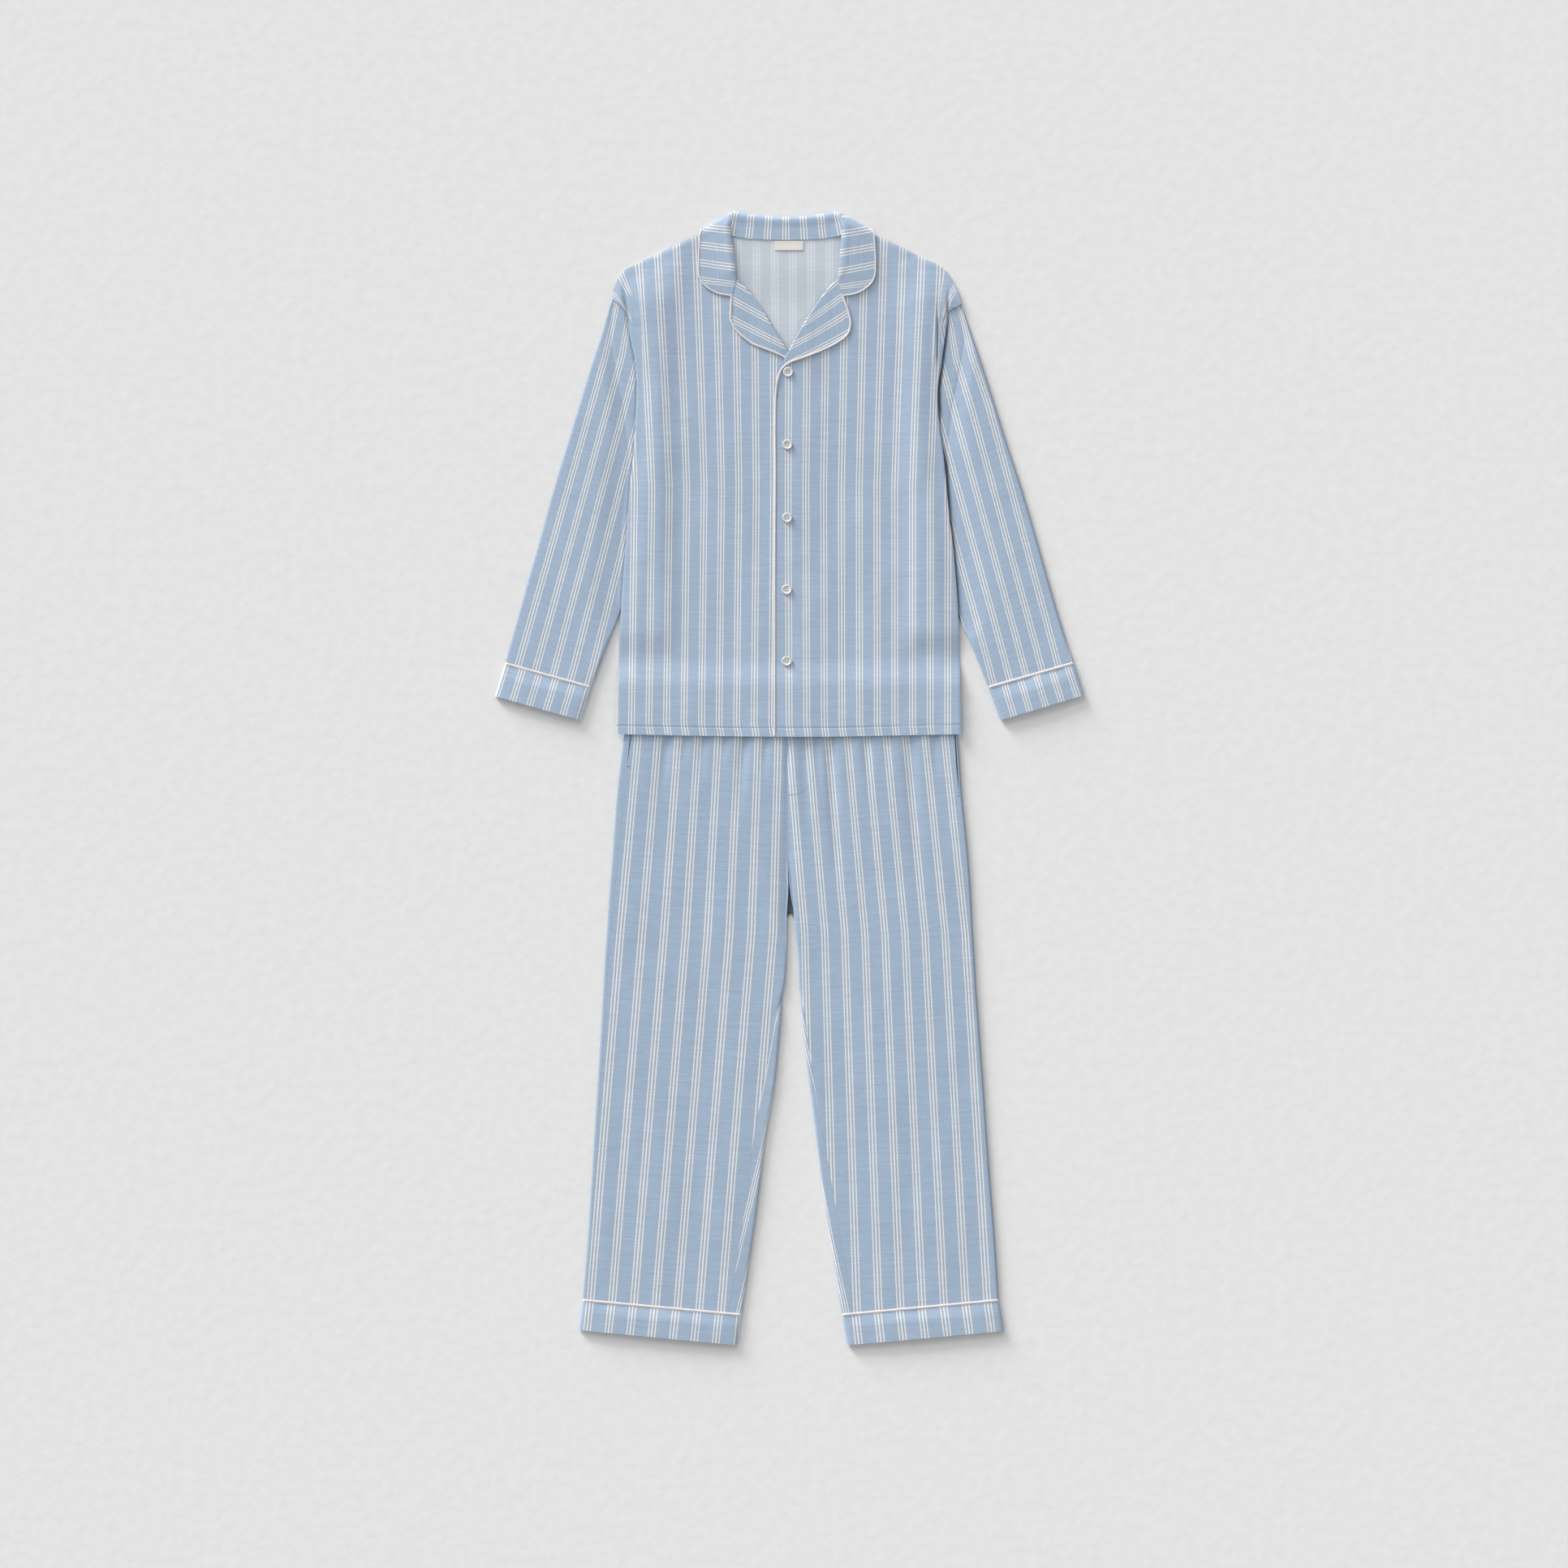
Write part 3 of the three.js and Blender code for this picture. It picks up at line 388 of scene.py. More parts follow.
mesh = bpy.data.meshes.new("table_top")
reach = 12.0
mesh.from_pydata([(-reach, -reach, 0), (reach, -reach, 0), (reach, reach, 0), (-reach, reach, 0)], [], [(0, 1, 2, 3)])
table_top = bpy.data.objects.new("table_top", mesh)
mesh.materials.append(floor_material)
scene.collection.objects.link(table_top)
table_top.location.z = -0.0004
table_top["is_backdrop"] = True

# %% [markdown]
# ## Lines, panels and walls of cloth
#
# A dressmaker draws a pattern piece from a few measured points and a smooth curve through them. The
# helpers below do the same: a line through points, a panel between four lines, and a wall of cloth
# round a grid of points.


# %% Smooth lines through measured points
def columns(names, *rows):
    """A short table with named columns."""
    return {name: np.array(values, float) for name, values in zip(names.split(), zip(*rows))}


def resample(grid, count, axis=0):
    """A smooth curve through the points along one axis of a grid, read at even steps."""
    line = np.moveaxis(np.asarray(grid, float), axis, 0)
    steps = np.linalg.norm(np.diff(line[..., :3], axis=0), axis=-1).reshape(len(line) - 1, -1).mean(1)
    at = np.concatenate([[0], np.cumsum(steps)])
    slope = np.gradient(line, at, axis=0)
    read = np.linspace(0, at[-1], count) if np.isscalar(count) else np.asarray(count) * at[-1]
    k = np.clip(np.searchsorted(at, read, side="right") - 1, 0, len(at) - 2)
    shape = (len(read),) + (1,) * (line.ndim - 1)
    width = (at[k + 1] - at[k]).reshape(shape)
    q = ((read - at[k]) / (at[k + 1] - at[k])).reshape(shape)
    ends = (2 * q**3 - 3 * q**2 + 1) * line[k] + (3 * q**2 - 2 * q**3) * line[k + 1]
    bends = (q**3 - 2 * q**2 + q) * width * slope[k] + (q**3 - q**2) * width * slope[k + 1]
    return np.moveaxis(ends + bends, 0, axis)


def smooth_line(points):
    """A line in plan, read by its share of length from 0 to 1."""
    dense = resample(points, 400)
    length = np.concatenate([[0], np.cumsum(np.linalg.norm(np.diff(dense, axis=0), axis=1))])

    def read(share):
        at = np.asarray(share, float) * length[-1]
        return np.stack([np.interp(at, length, dense[:, k]) for k in range(dense.shape[1])], -1)

    return read


def panel(left, right, bottom, top, across, up):
    """Plan points that fill the space between four lines."""
    u, v = across[None, :, None], up[:, None, None]
    rims = (1 - v) * bottom(across)[None] + v * top(across)[None]
    rims = rims + (1 - u) * left(up)[:, None] + u * right(up)[:, None]
    low = (1 - u) * bottom(0.0) + u * bottom(1.0)
    high = (1 - u) * top(0.0) + u * top(1.0)
    return rims - (1 - v) * low - v * high


def rise(value, low, high):
    t = np.clip((np.asarray(value, float) - low) / (high - low), 0, 1)
    return t * t * (3 - 2 * t)


def mix(low, high, share):
    return low + (high - low) * share


# %% Stripes: where each group crosses a panel
def stripe_count(table, x, y):
    """Counts the groups of stripes across a panel from the place of the first group and their gap."""
    px = (x - garment_x(0)) / PIXEL
    py = (garment_y(0) - y) / PIXEL
    if "y" in table:
        first, gap = (np.interp(py, table["y"], table[name]) for name in ("first", "gap"))
        count = (px - first) / gap
        last = None
        for number, side, stray in table.get("strays", ()):
            last = first + (number - side) * gap if last is None else last
            at = np.interp(py, stray["y"], stray["x"])
            share = (px - last) / (at - last)
            local = np.where(share < 1, number - side + side * share, number + (px - at) / gap)
            count = np.where(share > 0, local, count)
            last = at
        return count
    first, gap = (np.interp(px, table["x"], table[name]) for name in ("first", "gap"))
    return (py - first) / gap


# In pixels of the photograph: the height of each reading, the first group there, and the gap
STRIPES = {
    "front_right": columns(
        "y first gap",
        (280, 760, 24.1),
        (340, 764.5, 23.6),
        (480, 775.3, 22.2),
        (600, 782, 21.4),
        (892, 778, 21.6),
        (907, 780.6, 21.6),
    ),
    "front_left": columns(
        "y first gap",
        (280, 970.5, 23.8),
        (340, 970.8, 23.4),
        (480, 971.7, 22.4),
        (600, 971, 21.9),
        (892, 972.3, 21.7),
        (907, 974.2, 21.7),
    ),
    "back": columns("y first gap", (250, 976.7, 22.6), (450, 977.2, 22.2), (900, 977, 21.8)),
    "sleeve_right": columns(
        "y first gap", (372, 760.5, 17), (400, 754.5, 18.5), (440, 745.5, 20.5), (600, 700.6, 21.2), (825, 637, 23.2), (850, 629.5, 23.3)
    ),
    "sleeve_left": columns(
        "y first gap",
        (380, 1182.5, -16),
        (400, 1188, -17),
        (440, 1197.5, -20),
        (500, 1218, -22),
        (600, 1245, -21.8),
        (800, 1298.5, -21.4),
        (850, 1311.5, -21.4),
    ),
    "cuff_right": columns("y first gap", (810, 648.5, 22.3), (840, 639.2, 22.3), (870, 629.9, 22.35), (900, 620.6, 22.4)),
    "cuff_left": columns("y first gap", (800, 1308.3, -21), (830, 1318, -21), (860, 1327.7, -21.3), (900, 1340.6, -21.6)),
    "trouser_right": columns(
        "y first gap", (840, 790, 24.4), (910, 786, 24.7), (1150, 764.3, 26.9), (1595, 728, 27), (1670, 722, 27)
    ),
    "trouser_left": columns(
        "y first gap", (840, 968, 23.9), (910, 972, 24), (1150, 991.5, 24.7), (1595, 1001.5, 26.8), (1670, 1005, 27)
    ),
    "leg_back_right": columns("y first gap", (1200, 982, 19.5), (1253, 973.5, 19.5), (1333, 959, 19.5), (1405, 942.7, 19.5), (1536, 910.7, 19.5), (1660, 880, 19.5)),
    "leg_back_left": columns("y first gap", (1200, 971, 19.5), (1270, 990, 19.5), (1345, 1008, 19.5), (1405, 1019, 19.5), (1536, 1045, 19.5), (1660, 1072, 19.5)),
    "band_right": columns("y first gap", (1600, 727.5, 26.7), (1660, 721, 26.7)),
    "band_left": columns("y first gap", (1600, 997.6, 27.3), (1660, 1003.5, 27.6)),
    "lapel_right": columns("x first gap", (895, 342.0, 24.3), (903, 346.0, 24.0), (947, 371.6, 22.4), (975, 387, 21.4)),
    "lapel_left": columns("x first gap", (965, 390.6, 20.6), (970, 388, 20.6), (999, 373, 20.6), (1036, 342.5, 24.4), (1050, 331, 25.4)),
}


# Near the armholes the cloth is drawn askew, and one or two groups run aslant: their places by height
STRIPES["front_right"]["strays"] = [
    (0, -1, columns("y x", (330, 761), (338, 765), (345, 768), (362, 776), (380, 781), (400, 784), (460, 775), (600, 782), (900, 778))),
    (-1, -1, columns("y x", (350, 744), (365, 757.5), (377, 768), (395, 778.5), (412, 779), (430, 772), (480, 753), (600, 760), (900, 757))),
]
STRIPES["front_left"]["strays"] = [
    (9, 1, columns("y x", (340, 1186), (354, 1177), (370, 1168), (385, 1163), (402, 1158.5), (412, 1160), (430, 1164), (460, 1171), (600, 1168), (900, 1167.6))),
]


# %% A wall of cloth round a grid of points
def wall(name, points, thickness, cloth, slot, nodes, materials, tube=False, sharp=42, **marks):
    """A closed wall of even thickness. points are millimetres, cloth is the stripe count and the length."""
    rows, count = points.shape[:2]
    if tube:
        over = np.roll(points, -1, axis=1) - np.roll(points, 1, axis=1)
    else:
        over = np.gradient(points, axis=1)
    normal = np.cross(over, np.gradient(points, axis=0))
    normal /= np.linalg.norm(normal, axis=2, keepdims=True) + 1e-9
    faces = [(points + side * thickness / 2 * normal).reshape(-1, 3) for side in (1, -1)]
    vertices = np.concatenate(faces)
    half = rows * count
    i, j = np.meshgrid(np.arange(rows - 1), np.arange(count if tube else count - 1), indexing="ij")
    i, j = i.ravel(), j.ravel()
    k = (j + 1) % count
    a, b, c, d = i * count + j, i * count + k, (i + 1) * count + k, (i + 1) * count + j
    upper = np.stack([a, b, c, d], -1)
    lower = np.stack([a, d, c, b], -1) + half
    quads = [upper, lower]
    if not tube:
        for edge, turn in ((0, 1), (count - 1, -1)):
            low = np.arange(rows - 1) * count + edge
            rim = np.stack([low, low + count, low + count + half, low + half], -1)
            quads.append(rim[:, ::turn])
    spans = np.arange(count if tube else count - 1)
    for edge, turn in ((0, -1), (rows - 1, 1)):
        low = edge * count + spans
        high = edge * count + (spans + 1) % count
        rim = np.stack([low, high, high + half, low + half], -1)
        quads.append(rim[:, ::turn])
    quads = np.concatenate(quads)
    made = bpy.data.meshes.new(name)
    made.from_pydata((vertices * MM).tolist(), [], quads.tolist())
    for material in materials:
        made.materials.append(material)
    if len(materials) > 1:
        inside = np.zeros(len(quads), np.int32)
        inside[len(upper) : len(upper) + len(lower)] = 1
        made.polygons.foreach_set("material_index", inside)
    corner = np.zeros(len(made.loops), np.int32)
    made.loops.foreach_get("vertex_index", corner)
    flat = np.concatenate([cloth.reshape(-1, 2)] * 2)[corner]
    made.uv_layers.new(name="Cloth").uv.foreach_set("vector", flat.astype(np.float32).ravel())
    for mark, amount in marks.items():
        amount = np.concatenate([amount.ravel()] * 2).astype(np.float32)
        made.attributes.new(mark, "FLOAT", "POINT").data.foreach_set("value", amount)
    return as_piece(name, made, nodes, sharp)


def as_piece(name, made, nodes, sharp=42):
    """Smooths a mesh, makes it a piece of the object and lets it stand for its solids."""
    made.polygons.foreach_set("use_smooth", np.ones(len(made.polygons), bool))
    made.set_sharp_from_angle(angle=math.radians(sharp))
    made.update()
    piece = bpy.data.objects.new(name, made)
    scene.collection.objects.link(piece)
    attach(piece, "root")
    if nodes:
        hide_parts(*nodes)
    return piece


def cloth_map(table, points, lean=0.0):
    """Stripe count across and length along a panel whose stripes lean by that much."""
    x, y = points[..., 0], points[..., 1]
    count = stripe_count(STRIPES[table], x, y)
    if "x" in STRIPES[table]:
        return np.stack([count, x / REPEAT], -1)
    return np.stack([count, (y - lean * x) / REPEAT / math.hypot(1, lean)], -1)


# %% [markdown]
# ## How the layers lie on each other
#
# The jacket's back lies on the table between the sleeves, rises over them, over the trousers' waist
# and over the collar behind the neck. The fronts lie on the back with a little air between. These
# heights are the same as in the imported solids, with a gentle unevenness that the eye expects of cloth.

# %% Heights of the jacket's body
CLOTH = 0.9  # millimetres of a single panel
TRIM = 1.3  # of doubled cloth
LOW = 0.6  # middle of the cloth that lies on the table
OVER_SLEEVE, OVER_WAIST, OVER_COLLAR = 4.2, 6.9, 2.9
BODY_SIDE, BODY_PUFF, LAP = 1.8, 2.9, 1.8
WAIST_TOP = 138.8

SIDES = columns(
    "y right left",
    (68, -265.5, 264.5),
    (136, -264.5, 263),
    (199, -262, 262),
    (245, -260, 260.5),
    (300, -256.5, 257),
    (357, -252, 252),
    (405, -248.5, 246),
    (449, -245.5, 242),
    (499, -240, 237),
    (536, -237.5, 232),
    (573, -235.5, 228.5),
    (600, -234.5, 228.5),
    (640, -236.5, 234.5),
    (668, -242, 238),
    (692, -247, 241.5),
    (708, -250.5, 243.5),
)


def unevenness(x, y, size, seed):
    """Smooth random hills and hollows from -1 to 1, about size millimetres across."""
    lattice = np.random.default_rng(seed).uniform(-1, 1, (64, 64))
    size_x, size_y = size
    u, v = np.asarray(x, float) / size_x + 200, np.asarray(y, float) / size_y + 200
    i, j = np.floor(u).astype(int), np.floor(v).astype(int)
    s, t = rise(u - i, 0, 1), rise(v - j, 0, 1)
    corner = lambda a, b: lattice[(i + a) % 64, (j + b) % 64]
    low = mix(corner(0, 0), corner(1, 0), s)
    high = mix(corner(0, 1), corner(1, 1), s)
    return mix(low, high, t)


def near_neck(x):
    return 1 - rise(np.abs(x), 160, 205)


def over_waist(y):
    return 1 - rise(y, WAIST_TOP, WAIST_TOP + 46)


def body_lift(x, y):
    over_sleeve = rise(np.abs(x), 165, 203) * rise(y, 185, 230) * (1 - rise(y, 732, 786))
    return OVER_SLEEVE * over_sleeve + OVER_WAIST * over_waist(y)


def back_height(x, y):
    return LOW + body_lift(x, y) + OVER_COLLAR * near_neck(x) * rise(y, 725, 790)


def right_front_height(x, y):
    side = np.where(x < 0, x - np.interp(y, SIDES["y"], SIDES["right"]), np.interp(y, SIDES["y"], SIDES["left"]) - x)
    below_shoulder = 850 - 0.483 * (np.abs(x) - 112) - y
    inside = rise(side, 0, 34) * (1 - over_waist(y))
    air = inside * np.maximum(rise(below_shoulder, -6, 38), near_neck(x))
    uneven = 0.75 * unevenness(x, y, (46, 120), 3) + 0.35 * unevenness(x, y, (22, 46), 9)
    calm = 0.25 + 0.75 * rise(side, 4, 40)
    return LOW + body_lift(x, y) + BODY_SIDE + BODY_PUFF * air + uneven * calm


def left_front_height(x, y):
    return right_front_height(x, y) + LAP * (1 - rise(x, 22, 74))


# %% [markdown]
# ## The jacket's body
#
# The back is one panel, seen from inside at the neck. The two fronts meet at the placket, where the
# left one laps over the right. A double row of stitches holds the hem; one row of them is built here,
# in the shallow groove it draws.

# %% Outlines of the back and fronts
SIDE_FOOT, SIDE_HEAD = 68, 739
ARMHOLE = {"right": [(-254.5, 721), (-272, 739)], "left": [(244, 715.5), (264.5, 731)]}
SHOULDER = {
    "right": [(-272, 739), (-269.5, 755), (-263, 770), (-255.5, 781), (-235.5, 792.5), (-205.5, 806),
              (-172, 822.5), (-145, 834), (-125, 842), (-103, 846)],
    "left": [(264.5, 731), (260.5, 746), (254.5, 760), (243, 780), (233, 789), (209.5, 800),
             (165.5, 821), (140, 833), (118, 842), (95, 846)],
}
HEM = [(-265.5, 68), (-140, 65.5), (-23, 64.3), (60, 64.6), (134, 66.2), (264.5, 69.5)]
BACK_NECK = [(-87, 838.5), (-60, 834.6), (-2, 833), (50, 835.6), (78, 840.5)]
RIGHT_EDGE = [(18, 64.3), (18, 350), (18, 600), (10, 636), (-5, 659), (-27, 695), (-50, 729),
              (-68, 753), (-83, 772), (-87, 800), (-91, 825), (-96.5, 845)]
LEFT_EDGE = [(-20.6, 64.3), (-20.6, 255), (-19, 474), (-18.2, 585), (-14, 618), (-4, 645),
             (8, 667), (30, 706), (56, 744), (77, 773), (80, 800), (83, 825), (87, 846)]


def side_line(side):
    points = list(zip(SIDES[side], SIDES["y"])) + ARMHOLE[side]
    return smooth_line(points)


def hem_between(from_x, to_x):
    hem = resample(HEM, 400)
    ends = np.interp([from_x, to_x], hem[:, 0], np.linspace(0, 1, 400))
    whole = smooth_line(HEM)
    return lambda share: whole(mix(ends[0], ends[1], np.asarray(share, float)))


HEM_STITCH = 13.4  # millimetres above the hem's edge
hem_curve = resample(HEM, 200)


def above_hem(x, y):
    return y - np.interp(x, hem_curve[:, 0], hem_curve[:, 1])


def groove(distance, width=1.3):
    return np.exp(-((distance / width) ** 2))


body_up = np.unique(np.concatenate([np.linspace(0, 24, 28), np.linspace(24, 540, 110), np.linspace(540, 690, 62)])) / 690

# %% Back panel
across = np.linspace(0, 1, 74)
plan = panel(
    side_line("right"),
    side_line("left"),
    smooth_line(HEM),
    smooth_line(SHOULDER["right"] + BACK_NECK + SHOULDER["left"][::-1]),
    across,
    np.linspace(0, 1, 110),
)
back_points = np.concatenate([plan, back_height(plan[..., 0], plan[..., 1])[..., None]], 2)
jacket_back = wall(
    "jacket_back_cloth", back_points, CLOTH, cloth_map("back", back_points), "cloth", ["jacket_back"], [cotton_inside, cotton]
)


# %% Folds in the fronts beside the armholes
# In pixels of the photograph: the line that each fold follows, its depth and its half width in mm
FOLDS = {
    "right": [(columns("y x depth", (346, 766.5, 0), (358, 768, 0.9), (376, 770.5, 1.6), (392, 773, 1.8), (402, 775, 0)), 4.0)],
    "left": [
        (columns("y x depth", (350, 1168.5, 0), (362, 1168, 1.2), (375, 1167.5, 2.4), (392, 1168, 3.0)), 2.2),
        (columns("y x depth", (372, 1155, 0), (388, 1155, 1.6), (404, 1155.2, 3.0), (436, 1154.6, 3.0), (452, 1154.4, 0.8), (470, 1155, 0)), 1.7),
    ],
}


def folds(side, x, y):
    """How far folds lower the cloth, and how much shade is painted in them."""
    px, py = (x - garment_x(0)) / PIXEL, (garment_y(0) - y) / PIXEL
    depth, dark = np.zeros_like(x), np.zeros_like(x)
    for line, width in FOLDS[side]:
        at, strength = np.interp(py, line["y"], line["x"]), np.interp(py, line["y"], line["depth"], 0, 0)
        depth += strength * (groove((px - at) * PIXEL, width) - 0.45 * groove((px - at) * PIXEL, 4 * width))
        dark += strength / 3 * groove((px - at) * PIXEL, width * 0.8)
    return depth, np.clip(dark, 0, 1)


def faded_stripes(side, count, y):
    """How far the stripes are lost in the fold beside the right armhole."""
    if side == "left":
        return np.zeros_like(y)
    py = (garment_y(0) - y) / PIXEL
    first = np.where(np.abs(count) < 0.5, rise(py, 360, 367), 0)
    second = np.where(count < -0.5, rise(py, 391, 398), 0)
    return np.maximum(first, second) * (1 - rise(py, 440, 470))


# %% Front panels
def front(side, height, bottom_x, edge):
    lines = {
        "right": (side_line("right"), smooth_line(edge), hem_between(*bottom_x), smooth_line(SHOULDER["right"] + [edge[-1]])),
        "left": (smooth_line(edge), side_line("left"), hem_between(*bottom_x), smooth_line([edge[-1]] + SHOULDER["left"][::-1])),
    }[side]
    fine = np.concatenate([np.linspace(0, 0.02, 6), np.linspace(0.025, 0.16, 32), np.linspace(0.17, 1, 60)])
    plan = panel(*lines, fine if side == "right" else 1 - fine[::-1], body_up)
    x, y = plan[..., 0], plan[..., 1]
    rim = plan[:, :1] if side == "right" else plan[:, -1:]
    from_edge = np.minimum(np.linalg.norm(plan - rim, axis=2), np.linalg.norm(plan - plan[-1:], axis=2))
    sewn = back_height(x, y) + CLOTH + 0.1
    depth, dark = folds(side, x, y)
    z = height(x, y) - 0.45 * groove(above_hem(x, y) - HEM_STITCH) - depth
    roll = 4.5 + 16 * rise(y, 670, 705) * (1 - rise(y, 745, 775))
    z = mix(sewn, np.maximum(z, sewn), np.sin(math.pi / 2 * np.clip(from_edge / roll, 0, 1)))
    points = np.concatenate([plan, z[..., None]], 2)
    name = f"jacket_front_{side}"
    cloth = cloth_map(f"front_{side}", points)
    plain = faded_stripes(side, cloth[..., 0], y)
    # dark is painted shade in the folds, carried to the cloth's colour.
    marks = {"plain": plain, "in_fold": dark}
    return wall(f"{name}_cloth", points, CLOTH, cloth, "cloth", [name], [cotton, cotton_inside], **marks)


front_right = front("right", right_front_height, (HEM[0][0], RIGHT_EDGE[0][0]), RIGHT_EDGE)
front_left = front("left", left_front_height, (LEFT_EDGE[0][0], HEM[-1][0]), LEFT_EDGE)

# %% [markdown]
# ## Lapels
#
# The lapels are the tops of the front facings, turned out at the break. The fold at the roll line is
# round, so the grid goes on past it and turns down to the front's edge.

# %% Lapels
LAPEL = {
    "right": {
        "roll": [(-81.2, 768), (-66, 752), (-48, 730), (-26, 693.5), (-4.5, 659), (0, 651.5)],
        "outer": [(-87.4, 742.6), (-88.4, 722), (-88.2, 706), (-84, 696), (-76.5, 687), (-68, 679.5),
                  (-58, 672), (-40, 664.5), (-22, 657.5), (-9.5, 651.5), (-3, 647.5)],
    },
    "left": {
        "roll": [(73.4, 769), (57, 749.5), (41, 727), (27, 705.5), (15.5, 686), (3.5, 664), (-3.5, 651), (-8, 641)],
        "outer": [(80, 744), (85, 731), (90.2, 716), (92.8, 700), (91, 690), (85, 681), (76, 674.5),
                  (62, 666.5), (40, 656.8), (22, 649.8), (9, 645.5), (-1.5, 641.5), (-7, 638)],
    },
}
FRONT_HEIGHT = {"right": right_front_height, "left": left_front_height}
ON_FRONT = 1.7  # from a front's middle to the middle of doubled cloth on it


def lapel(side):
    roll, outer = LAPEL[side]["roll"], LAPEL[side]["outer"]
    sign = -1 if side == "right" else 1
    # the gorge seam lies under the collar
    roll, outer = ([(line[0][0] + sign * 1.8, line[0][1] + 0.7)] + line[1:] for line in (roll, outer))
    down = np.linspace(0, 1, 56)
    plan = panel(
        smooth_line(outer),
        smooth_line(roll),
        smooth_line([outer[0], roll[0]]),
        smooth_line([outer[-1], roll[-1]]),
        np.linspace(0, 1, 22),
        down,
    )
    x, y = plan[..., 0], plan[..., 1]
    share = np.linspace(0, 1, 22)[None, :]
    z = FRONT_HEIGHT[side](x, y) + ON_FRONT + 0.5 * rise(share, 0.0, 0.8) * np.sin(math.pi * down)[:, None]
    if side == "right":  # its tip goes under the left front
        z -= 0.9 * rise(down, 0.88, 0.97)[:, None]
    points = np.concatenate([plan, z[..., None]], 2)
    fold = points[:, -1]
    away = fold - points[:, -3]
    away[:, 2] = 0
    away /= np.linalg.norm(away, axis=1, keepdims=True)
    radius = (fold[:, 2] - FRONT_HEIGHT[side](fold[:, 0], fold[:, 1]))[:, None] / 2
    turned = []
    for angle in np.radians([25, 50, 75, 100, 125]):
        step = fold + away * radius * math.sin(angle)
        step[:, 2:] -= radius * (1 - math.cos(angle))
        turned.append(step)
    points = np.concatenate([points, np.stack(turned, 1)], 1)
    cloth = cloth_map(f"lapel_{side}", points)
    return wall(f"lapel_{side}_cloth", points, TRIM * 0.8, cloth, "cloth", [f"lapel_{side}"], [cotton])


lapels = [lapel("right"), lapel("left")]

# %% [markdown]
# ## Collar
#
# The collar is cut as one piece whose stripes run from the neck seam out to the piped edge. At the
# back they stand upright. Where the collar turns over the shoulder on to the front they lie across.

# %% Collar sections from the gorge round to the middle of the back
COLLAR_MIDDLE, LEFT_LEAF_SPREAD, LEAF_RISE = -6.2, 5.5, 2.5
COLLAR_LEAF = columns(
    "roll_out roll_y edge_out edge_y seam_out seam_y puff roll_shift",
    (75.6, 768.8, 81.8, 744.5, 80, 769.5, 0.25, 1),
    (76.3, 776.3, 104, 748.6, 83, 777, 0.6, 1),
    (76.9, 785, 122.4, 760, 85, 786, 1, 1),
    (78, 796.3, 130.6, 773.5, 87.5, 797, 1, 1),
    (79.4, 810, 132, 791, 90, 811, 1, 0.9),
    (82, 827.5, 131.3, 813.8, 92, 828, 1, 0.7),
    (84.4, 843.8, 130.2, 830, 93, 840, 1, 0.5),
    (84.4, 857, 129.8, 838.6, 92, 845, 0.9, 0.4),
)
COLLAR_BEHIND = columns(
    "roll_out roll_y roll_z edge_out edge_y edge_z seam_out seam_y seam_z before_roll edge_shift",
    (83, 871, 6.2, 125, 846.2, 4.6, 86, 836.5, 6.6, 7.2, 0.9),
    (78, 872.65, 3.6, 124, 843.6, 0.8, 78, 834.6, 5.6, 5.9, 0.8),
    (64, 871, 2.8, 112, 822, 0.8, 61, 831.8, 4.9, 5.2, 0.4),
    (38, 867, 2.7, 62, 803, 0.8, 38, 830.2, 4.8, 4.9, 0),
    (12, 865, 2.7, 18, 798, 0.8, 12, 829.4, 4.8, 4.9, 0),
)
# In pixels: on each leaf, the first group below the roll line and below the outer edge, and their gaps
LEAF_STRIPES = {"right": (284.2, 23.0, 280.2, 21.7), "left": (289, 23.2, 282, 22.2)}
SEAM_GAP, ROLL_GAP, FALL_GAP, STAND_MIDDLE = 22.9, 21.0, 23.3, 968.2


